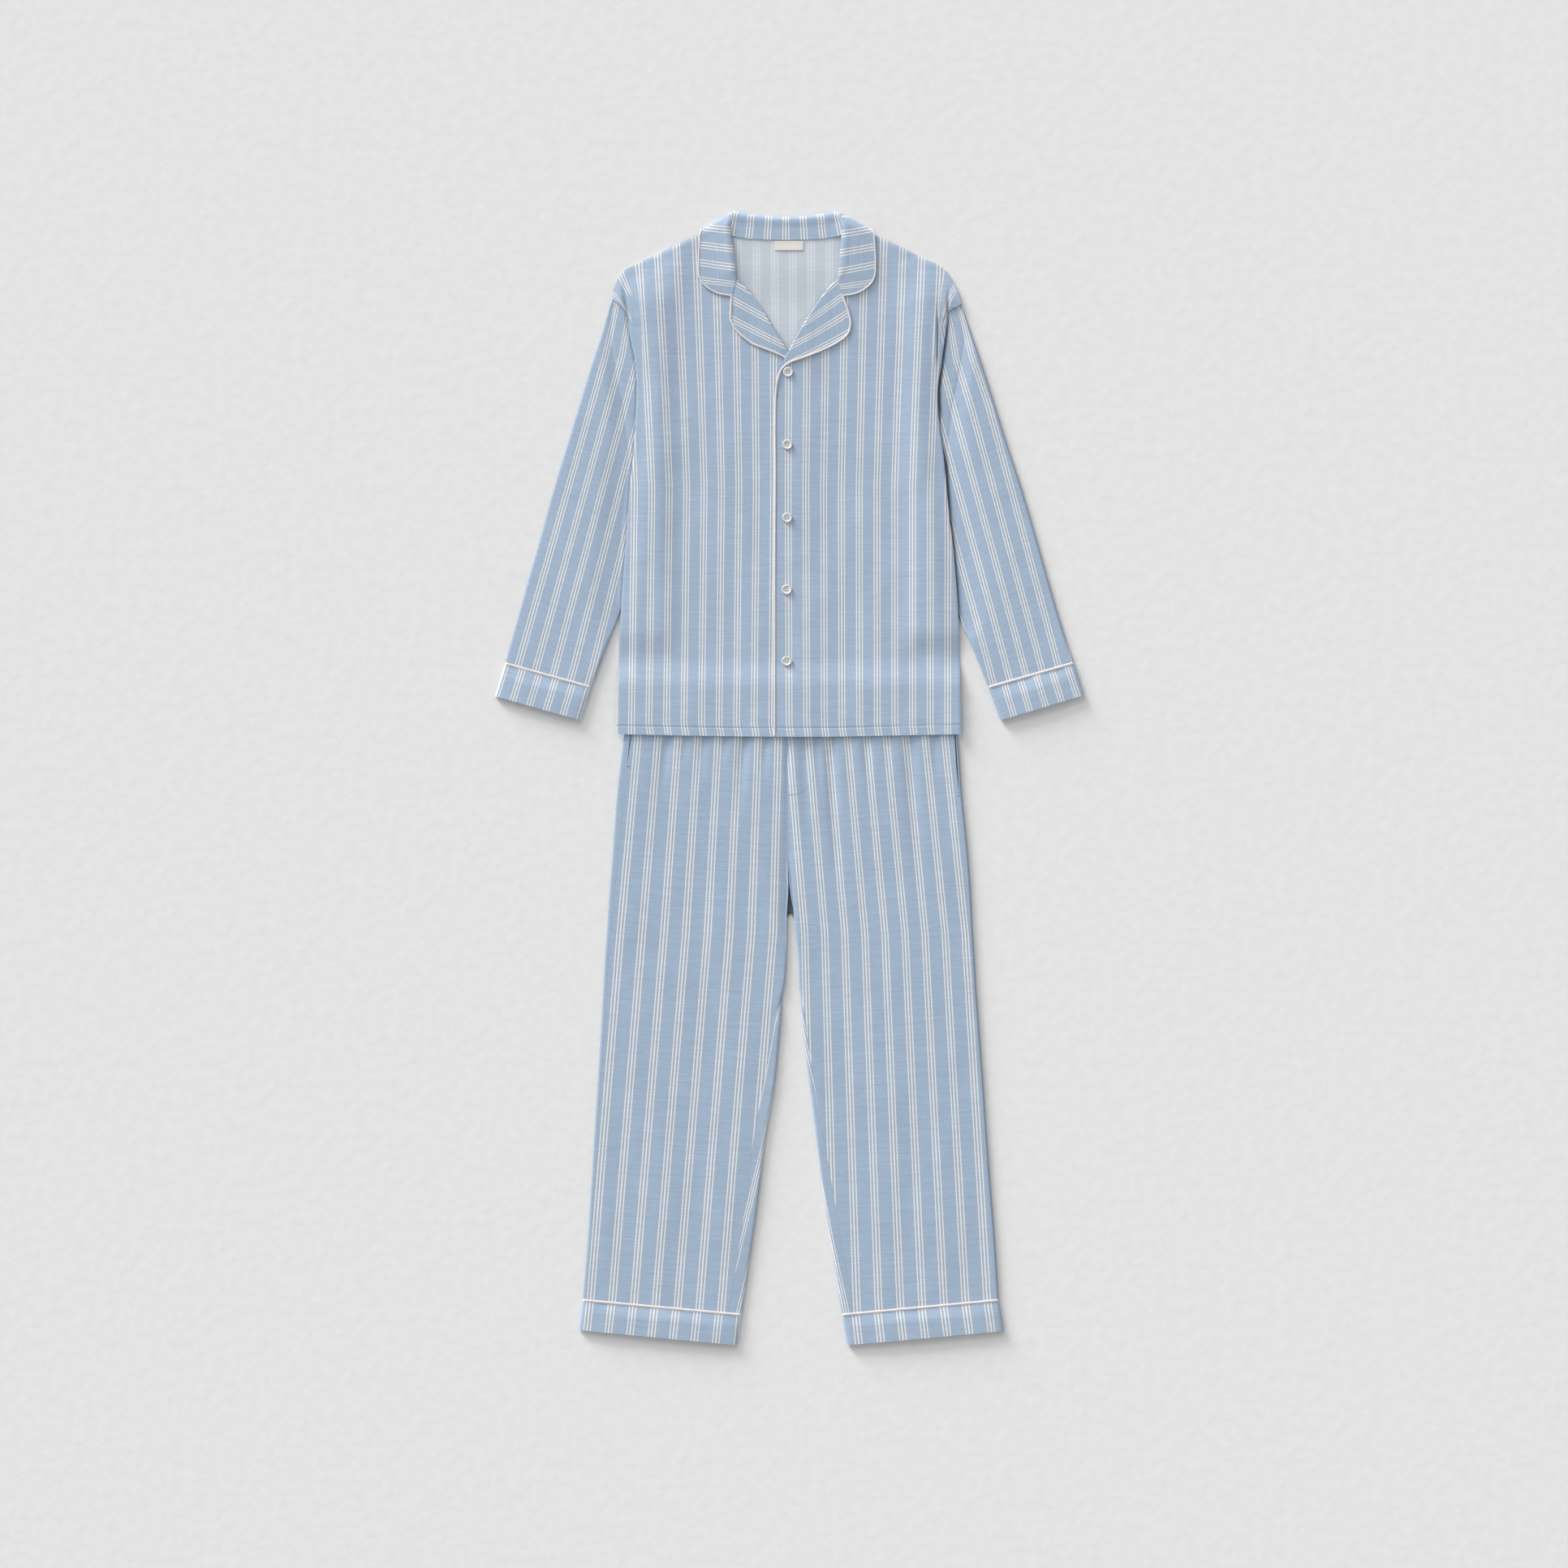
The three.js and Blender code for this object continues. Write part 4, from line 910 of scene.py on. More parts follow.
def collar_half(side):
    sign, spread = (1, LEFT_LEAF_SPREAD) if side == "left" else (-1, 0)
    sections = []
    leaf, behind = COLLAR_LEAF, COLLAR_BEHIND
    roll_first, roll_gap, edge_first, edge_gap = LEAF_STRIPES[side]
    for k in range(len(leaf["puff"])):
        shift = spread * leaf["roll_shift"][k]
        seam = np.array([leaf["seam_out"][k] + shift, leaf["seam_y"][k]])
        roll = np.array([leaf["roll_out"][k] + shift, leaf["roll_y"][k]])
        edge = np.array([leaf["edge_out"][k] + spread, leaf["edge_y"][k]])
        path = [(seam, roll, 0, 0, 0), (seam, roll, 0.5, 0, 0), (seam, roll, 0.9, 0, 0), (roll, edge, 0, 0.5, 0),
                (roll, edge, 0.05, 1, 0.05), (roll, edge, 0.3, 0.95, 0.3), (roll, edge, 0.55, 0.6, 0.55),
                (roll, edge, 0.8, 0.3, 0.8), (roll, edge, 1, 0.15, 1)]
        section = []
        for start_point, end_point, share, lifted, out_share in path:
            out, y = mix(start_point, end_point, share)
            x = COLLAR_MIDDLE + sign * out
            z = FRONT_HEIGHT[side](x, y) + ON_FRONT + 0.2 + LEAF_RISE * lifted * leaf["puff"][k]
            py = (garment_y(0) - y) / PIXEL
            groups = 4 + (py - mix(roll_first, edge_first, out_share)) / mix(roll_gap, edge_gap, out_share)
            section.append((x, y, float(z), sign * groups, sign * out / REPEAT))
        sections.append(section)
    for k in range(len(behind["roll_z"])):
        seam = np.array([behind["seam_out"][k], behind["seam_y"][k]])
        roll = np.array([behind["roll_out"][k], behind["roll_y"][k]])
        edge = np.array([behind["edge_out"][k] + spread * behind["edge_shift"][k], behind["edge_y"][k]])
        before, roll_z, edge_z = (behind[name][k] for name in ("before_roll", "roll_z", "edge_z"))
        falling = lambda share: max(mix(roll_z - 1.9, edge_z, share), edge_z)
        path = [(seam, roll, 0, behind["seam_z"][k], 0), (seam, roll, 0.5, mix(behind["seam_z"][k], before, 0.6), 0),
                (seam, roll, 0.94, before, 0), (roll, edge, 0, roll_z, 0), (roll, edge, 0.05, falling(0.05), 0.05),
                (roll, edge, 0.3, falling(0.3), 0.3), (roll, edge, 0.55, falling(0.55), 0.55),
                (roll, edge, 0.8, falling(0.8), 0.8), (roll, edge, 1, edge_z, 1)]
        section = []
        for start_point, end_point, share, z, out_share in path:
            out, y = mix(start_point, end_point, share)
            x = COLLAR_MIDDLE + sign * out
            px, py = (x - garment_x(0)) / PIXEL, (garment_y(0) - y) / PIXEL
            up = np.clip((y - seam[1]) / (roll[1] - seam[1]), 0, 1)
            groups = (px - STAND_MIDDLE) / mix(mix(SEAM_GAP, ROLL_GAP, up), FALL_GAP, out_share)
            on_leaf = sign * (4 + (py - mix(roll_first, edge_first, out_share)) / mix(roll_gap, edge_gap, out_share))
            toward_leaf = (1, 0.8, 0.3, 0, 0)[k] * (start_point is roll) * (0.5 + 0.5 * rise(out_share, 0, 0.3))
            section.append((x, y, z, mix(groups, on_leaf, toward_leaf), y / REPEAT))
        sections.append(section)
    return sections


collar_coarse = np.array(collar_half("right") + collar_half("left")[::-1], float)
collar_grid = resample(resample(collar_coarse, 170), 44, axis=1)
collar_grid[..., 2] = np.maximum(collar_grid[..., 2], TRIM / 2)
collar = wall(
    "collar_cloth", collar_grid[..., :3], TRIM, collar_grid[..., 3:], "cloth", ["collar"], [cotton]
)
print("collar, triangles:", 2 * len(collar.data.polygons))

# %% [markdown]
# ## Piping
#
# Piping is a cord in a folded strip, caught in the seam along an edge. It stands a little proud and
# catches the light, so it is built as a real cord beside each edge.


# %% Cords along the edges
def cord(name, route, radius, nodes, sides=12, squeeze=0.85, step=1.6):
    """A cord along a route in millimetres, a little flattened as a stitched one is."""
    length = np.linalg.norm(np.diff(route, axis=0), axis=1).sum()
    route = resample(route, max(12, int(length / step)))
    ahead = np.gradient(route, axis=0)
    ahead /= np.linalg.norm(ahead, axis=1, keepdims=True)
    beside = np.cross(ahead, (0, 0, 1.0))
    beside /= np.linalg.norm(beside, axis=1, keepdims=True)
    above = np.cross(beside, ahead)
    angle = np.linspace(0, 2 * math.pi, sides, endpoint=False)
    ring = route[:, None] + radius * (
        np.cos(angle)[None, :, None] * beside[:, None] + squeeze * np.sin(angle)[None, :, None] * above[:, None]
    )
    rows = len(ring)
    i, j = np.meshgrid(np.arange(rows - 1), np.arange(sides), indexing="ij")
    i, j = i.ravel(), j.ravel()
    k = (j + 1) % sides
    quads = np.stack([i * sides + j, (i + 1) * sides + j, (i + 1) * sides + k, i * sides + k], -1).tolist()
    quads.append([int(v) for v in range(sides)])
    quads.append([int(v) for v in range(rows * sides - 1, (rows - 1) * sides - 1, -1)])
    made = bpy.data.meshes.new(name)
    made.from_pydata((ring.reshape(-1, 3) * MM).tolist(), [], quads)
    made.materials.append(piping)
    run = np.concatenate([[0], np.cumsum(np.linalg.norm(np.diff(route, axis=0), axis=1))]) / REPEAT
    cloth = np.stack(np.broadcast_arrays(angle[None] / 6.3, run[:, None]), -1).reshape(-1, 2)
    corner = np.zeros(len(made.loops), np.int32)
    made.loops.foreach_get("vertex_index", corner)
    made.uv_layers.new(name="Cloth").uv.foreach_set("vector", cloth[corner].astype(np.float32).ravel())
    return as_piece(name, made, nodes, 70)


def on_front(plan, height, radius):
    x, y = plan[:, 0], plan[:, 1]
    return np.stack([x, y, height(x, y) + CLOTH / 2 + 0.35 + radius * 0.85], 1)


COLLAR_CORD, EDGE_CORD = 1.35, 1.6
edge = collar_grid[:, -1, :3]
inside = collar_grid[:, -4, :3]
away = edge - inside
away[:, 2] = 0
away /= np.linalg.norm(away, axis=1, keepdims=True)
collar_route = edge + away * (COLLAR_CORD + 0.2)
collar_route[:, 2] = np.maximum(collar_route[:, 2] + 0.35, COLLAR_CORD)
collar_cord = cord("collar_piping_cord", collar_route, COLLAR_CORD, ["collar_piping"])

def beside(points, distance):
    """A line at a distance to the right of a line in plan, seen along its way."""
    line = smooth_line(points)(np.linspace(0, 1, 80))
    ahead = np.gradient(line, axis=0)
    ahead /= np.linalg.norm(ahead, axis=1, keepdims=True)
    return line + distance * np.stack([ahead[:, 1], -ahead[:, 0]], 1)


route = on_front(beside(LAPEL["right"]["outer"], EDGE_CORD), right_front_height, EDGE_CORD)
route[:, 2] -= 0.9 * rise(np.linspace(0, 1, 80), 0.9, 0.98)
lapel_cord = cord("lapel_piping_right_cord", route, EDGE_CORD, ["lapel_piping_right"])

FRONT_EDGE_CORD = [(-12, 629.5), (-17.5, 616), (-20.3, 595), (-21.6, 560), (-21.4, 474), (-22.2, 350), (-22.4, 200), (-22.4, 66)]


def front_cord_height(x, y):
    return mix(right_front_height(x, y), left_front_height(x, y), rise(y, 590, 620))


edge = np.concatenate([beside(LAPEL["left"]["outer"][:-2], -EDGE_CORD), np.array([(-3, 638), *FRONT_EDGE_CORD])])
route = on_front(smooth_line(edge)(np.linspace(0, 1, 420)), front_cord_height, EDGE_CORD)
front_cord = cord("front_piping_left_cord", route, EDGE_CORD, ["front_piping_left"])

# %% [markdown]
# ## Sleeves and cuffs
#
# A sleeve is a tube pressed flat. It is whole where it shows, and thins where the jacket's body lies
# on it. Each row below is a section across the tube, from its outer end to its inner end.

# %% Flattened tubes
SLEEVE = {
    "right": columns(
        "out_x out_y in_x in_y shown",
        (-437.8, 176.9, -305.3, 140, 200),
        (-419.4, 242.5, -283.1, 198.8, 200),
        (-400.6, 310, -263.1, 248.8, 158),
        (-380.6, 380, -244.4, 305, 140),
        (-360.6, 452.5, -230.6, 361.3, 132),
        (-340.6, 517.5, -221.9, 417.5, 123),
        (-320.6, 583.8, -216.9, 473.8, 116),
        (-301.9, 643.8, -215.6, 530, 109),
        (-285.6, 693.8, -218.1, 598.8, 80),
        (-272.3, 738.2, -222, 686.5, 16),
        (-266, 751, -214, 699, 0),
    ),
    "left": columns(
        "out_x out_y in_x in_y shown",
        (438.1, 177.5, 306.9, 140, 200),
        (418.1, 238.8, 283.1, 198.8, 200),
        (398.1, 307.5, 263.1, 243.8, 156),
        (378.1, 377.5, 244.4, 301.3, 137),
        (356.9, 448.8, 229.4, 358.8, 128),
        (335.6, 513.8, 220.6, 415, 121),
        (315.6, 577.5, 214.4, 471.3, 114),
        (296.9, 636.3, 211.9, 527.5, 108),
        (279.4, 687.5, 214.4, 596.3, 78),
        (264.8, 730.3, 214, 691, 16),
        (259, 744, 206, 704, 0),
    ),
}
CUFF_END = {"right": (-454.4, 126.3, -321.9, 88.8), "left": (454.4, 127.5, 325.6, 88.8)}
SLEEVE_TOP, SLEEVE_PRESSED = 5.0, 2.7


def ring(ends, thickness, low, top, bottom_count, top_count, turn_count=5):
    """A flattened ring between two ends. top gives the upper layer's height at a distance across."""
    start_point, end_point = np.array(ends[:2], float), np.array(ends[2:4], float)
    width = np.linalg.norm(end_point - start_point)
    outer, inner = thickness / 2, width - thickness / 2
    top_outer, top_inner = (float(top(np.array(a))) for a in (outer, inner))
    outer_turn, inner_turn = (top_outer - low) / 2, (top_inner - low) / 2
    bottom = np.linspace(outer + outer_turn, inner - inner_turn, bottom_count)
    upper = np.linspace(inner - inner_turn, outer + outer_turn, top_count)
    turn = np.linspace(-90, 90, turn_count + 2)[1:-1]
    right_turn = [(inner - inner_turn * (1 - math.cos(t)), low + inner_turn * (1 + math.sin(t))) for t in np.radians(turn)]
    left_turn = [(outer + outer_turn * (1 - math.cos(t)), low + outer_turn * (1 + math.sin(t))) for t in np.radians(turn[::-1])]
    path = [(a, low) for a in bottom] + right_turn + list(zip(upper, np.asarray(top(upper), float))) + left_turn
    path = np.array(path)
    plan = start_point + (end_point - start_point) * path[:, :1] / width
    return np.concatenate([plan, path[:, 1:]], 1)


def between(table, at):
    """Reads every column of a table of sections at a fractional row."""
    rows = np.stack(list(table.values()), 1)
    fine = resample(rows[:, None, :4], 401)[:, 0]
    shown = np.interp(np.linspace(0, len(rows) - 1, 401), np.arange(len(rows)), rows[:, 4])
    k = at * 400
    return [np.interp(k, np.arange(401), fine[:, c]) for c in range(4)], np.interp(k, np.arange(401), shown)


def moved(seam, end, length):
    """The section that lies a distance from a seam towards the section at its end."""
    seam, end = np.array(seam, float), np.array(end, float)
    return seam + (end - seam) * length / np.linalg.norm(end[:2] - seam[:2])


# %% Sleeves
# Painted shade on the sleeve close beside the body, where it goes under: its width in mm and its strength, by pixel row
TUCK_SHADE = {
    "right": columns("y wide dark", (345, 3, 0), (360, 4, 0.4), (440, 5, 0.4), (480, 4, 0.35), (800, 4, 0.35), (830, 3, 0)),
    "left": columns("y wide dark", (384, 3, 0), (398, 4, 0.8), (425, 5, 1), (452, 5, 1), (480, 6, 1), (504, 7, 1), (522, 2.5, 0.7),
                    (545, 2.5, 0.7), (572, 7.5, 1), (598, 6, 1), (640, 5, 0.9), (765, 4, 0.8), (800, 3, 0)),
}


def tuck_shade(side, x, y):
    edge = np.interp(y, SIDES["y"], SIDES[side])
    gap = np.abs(x) - np.abs(edge)
    table, py = TUCK_SHADE[side], (garment_y(0) - y) / PIXEL
    wide = np.interp(py, table["y"], table["wide"])
    return np.interp(py, table["y"], table["dark"]) * (1 - rise(gap / wide, 0.5, 1.15))


def sleeve(side):
    table = SLEEVE[side]
    sign = -1 if side == "left" else 1
    sections, dark = [], []
    for share in np.linspace(0, 1, 170):
        ends, shown = between(table, share)
        if share == 0:
            ends = moved(ends, between(table, 0.05)[0], 1.6)

        def top(a, shown=shown, ends=ends, share=share):
            x = mix(ends[0], ends[2], a / math.hypot(ends[2] - ends[0], ends[3] - ends[1]))
            y = mix(ends[1], ends[3], a / math.hypot(ends[2] - ends[0], ends[3] - ends[1]))
            showing = 1 - rise(a, shown - 52, shown + 2)
            uneven = 0.4 * unevenness(x + sign * 0.28 * y, y, (34, 150), 21) + 0.2 * unevenness(x, y, (22, 40), 22)
            crown = 1.1 * np.sin(math.pi * np.clip(a / max(shown, 20.0), 0, 1))
            tucked = SLEEVE_PRESSED + 0.75 * rise(share, 0.78, 0.88) - 0.5 * groove(a - shown, 5)
            return mix(tucked, SLEEVE_TOP + crown + uneven * rise(a, 2, 30), showing)

        section = ring(ends, CLOTH, LOW, top, 14, 70)
        sections.append(section)
        from_edge = np.hypot(section[:, 0] - ends[0], section[:, 1] - ends[1])
        # Painted shade: darker close beside the body, and along the sleeve's outer edge.
        under = tuck_shade(side, section[:, 0], section[:, 1]) * (section[:, 2] > 1.2)
        dark.append(np.maximum(under, 0.3 * (1 - rise(from_edge, 0.4, 4))))
    points = np.array(sections)
    lean = 0.27 if side == "left" else -0.27
    cloth = cloth_map(f"sleeve_{side}", points, lean)
    marks = {"in_fold": np.array(dark)}
    return wall(f"sleeve_{side}_cloth", points, CLOTH, cloth, "cloth", [f"sleeve_{side}"], [cotton], tube=True, **marks)


sleeves = [sleeve("right"), sleeve("left")]


# %% Cuffs, leg bands and the piping in their seams
LAST_STRIPE = {"cuff_left": 4.55}  # the cloth is plain past this group


def turned_band(name, seam, end, table, slot, node, lean=0.0):
    """A doubled band: flat, with a round fold at its open end."""
    length = math.hypot(end[0] - seam[0], end[1] - seam[1])
    sections = []
    for share in np.linspace(1.7, length - 0.6, 26):
        ends = moved(seam, end, share)
        width = math.hypot(ends[2] - ends[0], ends[3] - ends[1])

        def top(a, ends=ends, share=share, width=width):
            x = mix(ends[0], ends[2], a / width)
            crown = 3.0 * rise(share, 0, 0.45 * length) * np.sin(math.pi * np.clip(a / width, 0, 1)) ** 0.5
            lifted = 0.5 * unevenness(x, share, (24, 60), 31) * rise(a, 0, 12) * (1 - rise(a, width - 12, width))
            return 6.0 + crown + lifted

        sections.append(ring(ends, TRIM, TRIM / 2, top, 12, 44))
    points = np.array(sections)
    fabric = cotton_trousers_shaded if slot == "trousers" else cotton
    cloth = cloth_map(table, points, lean)
    plain = (cloth[..., 0] > LAST_STRIPE.get(table, 99)) * 1.0
    return wall(name, points, TRIM, cloth, slot, [node], [fabric], tube=True, plain=plain)


def seam_piping(name, seam, end, node):
    """A piped ring in the seam above a band."""
    sections = []
    for share in np.linspace(-1, 1, 9):
        ends = moved(seam, end, 1.55 * share)
        proud = 0.95 * math.sqrt(max(0.0, 1 - (0.97 * share) ** 2))
        sections.append(ring(ends, 1.6, 0.85, lambda a, proud=proud: 5.9 + proud + 0 * np.asarray(a, float), 12, 44))
    points = np.array(sections)
    run = np.linalg.norm(points - points[:, :1], axis=2) / REPEAT
    cloth = np.stack([points[..., 2] / 6, run], -1)
    return wall(name, points, 1.6, cloth, "piping", [node], [piping], tube=True, sharp=80)


for side in ("right", "left"):
    seam = [SLEEVE[side][name][0] for name in ("out_x", "out_y", "in_x", "in_y")]
    lean = 0.33 if side == "left" else -0.31
    turned_band(f"cuff_{side}_cloth", seam, CUFF_END[side], f"cuff_{side}", "cloth", f"cuff_{side}", lean)
    seam_piping(f"cuff_piping_{side}_cord", seam, CUFF_END[side], f"cuff_piping_{side}")

# %% [markdown]
# ## Trousers
#
# Each leg has a front and a back. The back's edges wrap round to the front, so both seams show on the
# front side. The elastic in the waist leaves soft gathers, which die out down the thigh.

# %% Leg sections from the waist seam to the leg seam
LEG = {
    "right": columns(
        "out_x out_y in_x in_y wrap_out wrap_in open",
        (-250.1, 97.5, -2.5, 97.5, 9, 0, 1),
        (-254.4, 66.3, -2.5, 66.3, 9, 0, 1),
        (-260.5, 17, -2.5, 17, 10, 0, 1),
        (-265.6, -30, -2.5, -30, 11, 0, 1),
        (-269, -73, -2.5, -73, 10, 0, 1),
        (-271.9, -116.3, -2.5, -116.3, 9, 0, 1),
        (-276.9, -176.3, -1.2, -176.3, 7, 0, 0),
        (-279, -209, -3.2, -209, 6.3, 0, 0),
        (-279.4, -216, -3.4, -216, 6.2, 0, 0),
        (-283.1, -267.5, -4.4, -270, 5, 0, 0),
        (-286, -322, -8.9, -325, 4.5, 0, 0),
        (-288.3, -360, -12.3, -363, 4.2, 6.5, 0),
        (-291, -408, -16.5, -412, 4.2, 12, 0),
        (-294.4, -461.3, -21.9, -467.5, 4.2, 16.5, 0),
        (-299.8, -546.3, -36.9, -556.3, 4.2, 17.5, 0),
        (-305, -631.3, -47.5, -643.8, 4.2, 18, 0),
        (-310.6, -716.3, -60, -733.8, 4.2, 18.5, 0),
        (-318.1, -803.8, -73.8, -826.3, 4.2, 18.8, 0),
    ),
    "left": columns(
        "out_x out_y in_x in_y wrap_out wrap_in open",
        (255.1, 97.5, -2.5, 97.5, 3.0, 0, 1),
        (259.4, 66.3, -2.5, 66.3, 3.0, 0, 1),
        (263, 17, -2.5, 17, 3.3, 0, 1),
        (266.3, -30, -2.5, -30, 3.9, 0, 1),
        (270.8, -73, -2.5, -73, 5, 0, 1),
        (275, -116.3, -2.5, -116.3, 6, 0, 1),
        (279.4, -176.3, 1.8, -176.3, 6, 0, 0),
        (281, -208, 6.8, -208, 5.6, 0, 0),
        (281.3, -216, 7.4, -216, 5.5, 0, 0),
        (284.4, -266.3, 13.1, -272.5, 4.5, 0, 0),
        (287.5, -320, 16, -325, 4.5, 0, 0),
        (290.5, -360, 18.5, -364, 4.5, 4.6, 0),
        (294, -408, 23.5, -412, 4.5, 5.6, 0),
        (298.1, -461.3, 30.6, -466.3, 4.5, 7, 0),
        (303.8, -546.3, 41.9, -556.3, 4.5, 11, 0),
        (310, -628.8, 53.1, -643.8, 4.5, 15, 0),
        (316.9, -716.3, 66.9, -733.8, 4.5, 16, 0),
        (322.5, -803.8, 81.3, -826.3, 4.5, 17, 0),
    ),
}
LEG_END = {"right": (-324.4, -850, -80.6, -873.4), "left": (330.6, -851.3, 89.4, -873.4)}
LEG_TOP = 5.6
TURN = (LEG_TOP - LOW) / 2
SEAM = 0.1
POCKET_FOOT = {"right": 20, "left": -25}
WAIST_SEAM, CROTCH = 97.5, -212


def turned(end, sign, degrees):
    angle = np.radians(degrees)
    return [(end + sign * TURN * (1 - math.cos(a)), LOW + TURN + TURN * math.sin(a)) for a in angle]


def leg_back_path(row, width):
    outer, inner = CLOTH / 2, width - CLOTH / 2
    wrapped_edge = [(outer + mix(TURN, row["wrap_out"], share), LEG_TOP) for share in (1, 0.6, 0.2)]
    if row["out_y"] > CROTCH:
        tail = [(width - short, LOW) for short in np.linspace(10, SEAM / 2, 12)]
    elif row["wrap_in"]:
        tail = turned(inner, -1, np.linspace(-90, 90, 7))
        tail += [(mix(inner - TURN, inner - row["wrap_in"], share), LEG_TOP) for share in np.linspace(0.2, 1, 5)]
    else:
        tail = turned(inner, -1, np.linspace(-90, -9, 12))
    flat = np.linspace(outer + TURN, tail[0][0], 30)[:-1]
    return wrapped_edge + turned(outer, 1, np.linspace(90, -75, 7)) + [(a, LOW) for a in flat] + tail


def leg_front_path(row, width):
    inner = width - CLOTH / 2
    pocket = POCKET_FOOT["right" if row["out_x"] < 0 else "left"] < row["out_y"] <= WAIST_SEAM
    start_at = CLOTH / 2 + row["wrap_out"] + (2.0 if pocket else SEAM)
    if row["open"]:
        tail = [(width - short, LEG_TOP) for short in np.linspace(6, SEAM / 2, 6)]
    elif row["wrap_in"]:
        tail = [(inner - row["wrap_in"] - SEAM - short, LEG_TOP) for short in np.linspace(6, 0, 6)]
    else:
        tail = turned(inner, -1, np.linspace(90, 9, 6))
    return [(a, LEG_TOP) for a in np.linspace(start_at, tail[0][0], 72)[:-1]] + tail


# In millimetres: gathers that the waist leaves, each from its head at the hem to where it dies out
GATHERS = columns(
    "x foot_x foot_y depth width",
    (-188, -197, -40, 1.5, 7),
    (-160, -166, 0, 0.9, 6),
    (-133, -140, -30, 1.2, 7),
    (-100, -106, -10, 0.9, 6),
    (-69, -82, -90, 2.0, 8),
    (-36, -42, -20, 1.4, 6),
    (-2.5, -2.5, -130, 1.4, 5),
    (22, 30, -150, 1.5, 8),
    (40, 50, -60, 1.0, 6),
    (62, 76, -200, 2.2, 8),
    (90, 98, -40, 1.0, 6),
    (118, 126, -60, 1.7, 7),
    (150, 158, -20, 1.0, 6),
    (184, 204, -220, 1.7, 9),
    (222, 229, -20, 1.2, 7),
)
GATHER_HEAD = 66

# The curve that holds the fly down, on the left front
FLY = [(37.4, 7), (34.6, -2.5), (29, -11.5), (21, -19), (11, -23.2), (-2, -25.5)]


def gathers(x, y):
    depth = np.zeros_like(x)
    for k in range(len(GATHERS["x"])):
        fold = {name: GATHERS[name][k] for name in GATHERS}
        down = (GATHER_HEAD - y) / (GATHER_HEAD - fold["foot_y"])
        middle = mix(fold["x"], fold["foot_x"], down)
        strength = 1 - rise(down, 0, 1)
        depth += 1.6 * fold["depth"] * strength * np.exp(-(((x - middle) / fold["width"]) ** 2))
    rise_seam = rise(-y, 0, 120) * (1 - rise(-y, 190, 330))
    return depth + 2.2 * rise_seam * np.exp(-(((x + 1) / 10) ** 2))


def back_stripes(points, last, turn):
    """Stripe count round a leg's back: plain cloth at the side seam, and groups where they show inside."""
    steps = np.linalg.norm(np.diff(points, axis=1), axis=2)
    run = np.concatenate([np.zeros((len(steps), 1)), np.cumsum(steps, 1)], 1)
    whole = run[:, -1:]
    from_side = 0.5 + turn * (0.2 - run / REPEAT)
    from_inside = last + turn * (whole - run) / (19.5 * PIXEL)
    middle = points.shape[1] // 2
    from_side += np.round(from_inside[-1, middle] - from_side[-1, middle])
    return mix(from_side, from_inside, rise(run / whole, 0.2, 0.85))


# %% Legs
def leg_panel(side, path, name, table, lean, rows):
    table_rows = LEG[side]
    seam_out = [table_rows[c][-1] for c in ("out_x", "out_y", "in_x", "in_y")]
    before = [table_rows[c][-2] for c in ("out_x", "out_y", "in_x", "in_y")]
    coarse = []
    for k in range(len(table_rows["open"])):
        row = {name_: table_rows[name_][k] for name_ in table_rows}
        ends = [row[c] for c in ("out_x", "out_y", "in_x", "in_y")]
        if path is leg_back_path and row["out_y"] > CROTCH:
            ends[2] = mix(-2.5, 1.5, rise(-row["out_y"], 130, 205))
        if k == len(table_rows["open"]) - 1:
            ends = moved(seam_out, before, 1.6)
        start_point, end_point = np.array(ends[:2]), np.array(ends[2:])
        width = np.linalg.norm(end_point - start_point)
        a = np.array(path(row, width))
        plan = start_point + (end_point - start_point) * a[:, :1] / width
        coarse.append(np.concatenate([plan, a[:, 1:]], 1))
    points = resample(np.array(coarse), rows)
    x, y, z = points[..., 0], points[..., 1], points[..., 2]
    upper = rise(z, LEG_TOP - 1, LEG_TOP)
    uneven = 0.55 * unevenness(x - lean * y, y, (38, 210), 41) + 0.25 * unevenness(x, y, (20, 52), 42)
    edge_calm = np.minimum(rise(np.abs(x - points[:, :1, 0]), 0, 26), rise(np.abs(x - points[:, -1:, 0]), 0, 26))
    z += upper * (uneven * edge_calm - gathers(x, y))
    cloth = cloth_map(table, points, lean)
    if path is leg_back_path:
        cloth[..., 0] = back_stripes(points, cloth[:, -1:, 0], 1 if side == "right" else -1)
    # Painted shade: the back seen through the crotch is darkened, and so is the leg along its outer edge.
    painted_leg_shade = (z < 1.5) * (np.abs(x) < 14) * rise(-y, 110, 130) * (1 - rise(-y, 225, 240))
    outside = np.interp(y, *(table_rows[c][::-1] for c in ("out_y", "out_x")))
    painted_leg_shade = np.maximum(painted_leg_shade, 0.3 * (1 - rise(np.abs(x - outside), 0.4, 4)))
    return wall(f"{name}_cloth", points, CLOTH, cloth, "trousers", [name], [cotton_trousers_shaded], in_fold=painted_leg_shade)


for side, lean in (("right", -0.07), ("left", 0.06)):
    leg_panel(side, leg_front_path, f"trouser_front_{side}", f"trouser_{side}", lean, 210)
    leg_panel(side, leg_back_path, f"trouser_back_{side}", f"leg_back_{side}", 2.5 * lean, 150)
    seam = [LEG[side][name][-1] for name in ("out_x", "out_y", "in_x", "in_y")]
    turned_band(f"leg_band_{side}_cloth", seam, LEG_END[side], f"band_{side}", "trousers", f"leg_band_{side}", lean)
    seam_piping(f"leg_piping_{side}_cord", seam, LEG_END[side], f"leg_piping_{side}")

# %% [markdown]
# ## Hidden waist and pockets
#
# The waistband and the pocket bags lie out of sight, under the jacket and in the legs. They are
# finished plainly, in the same cotton.

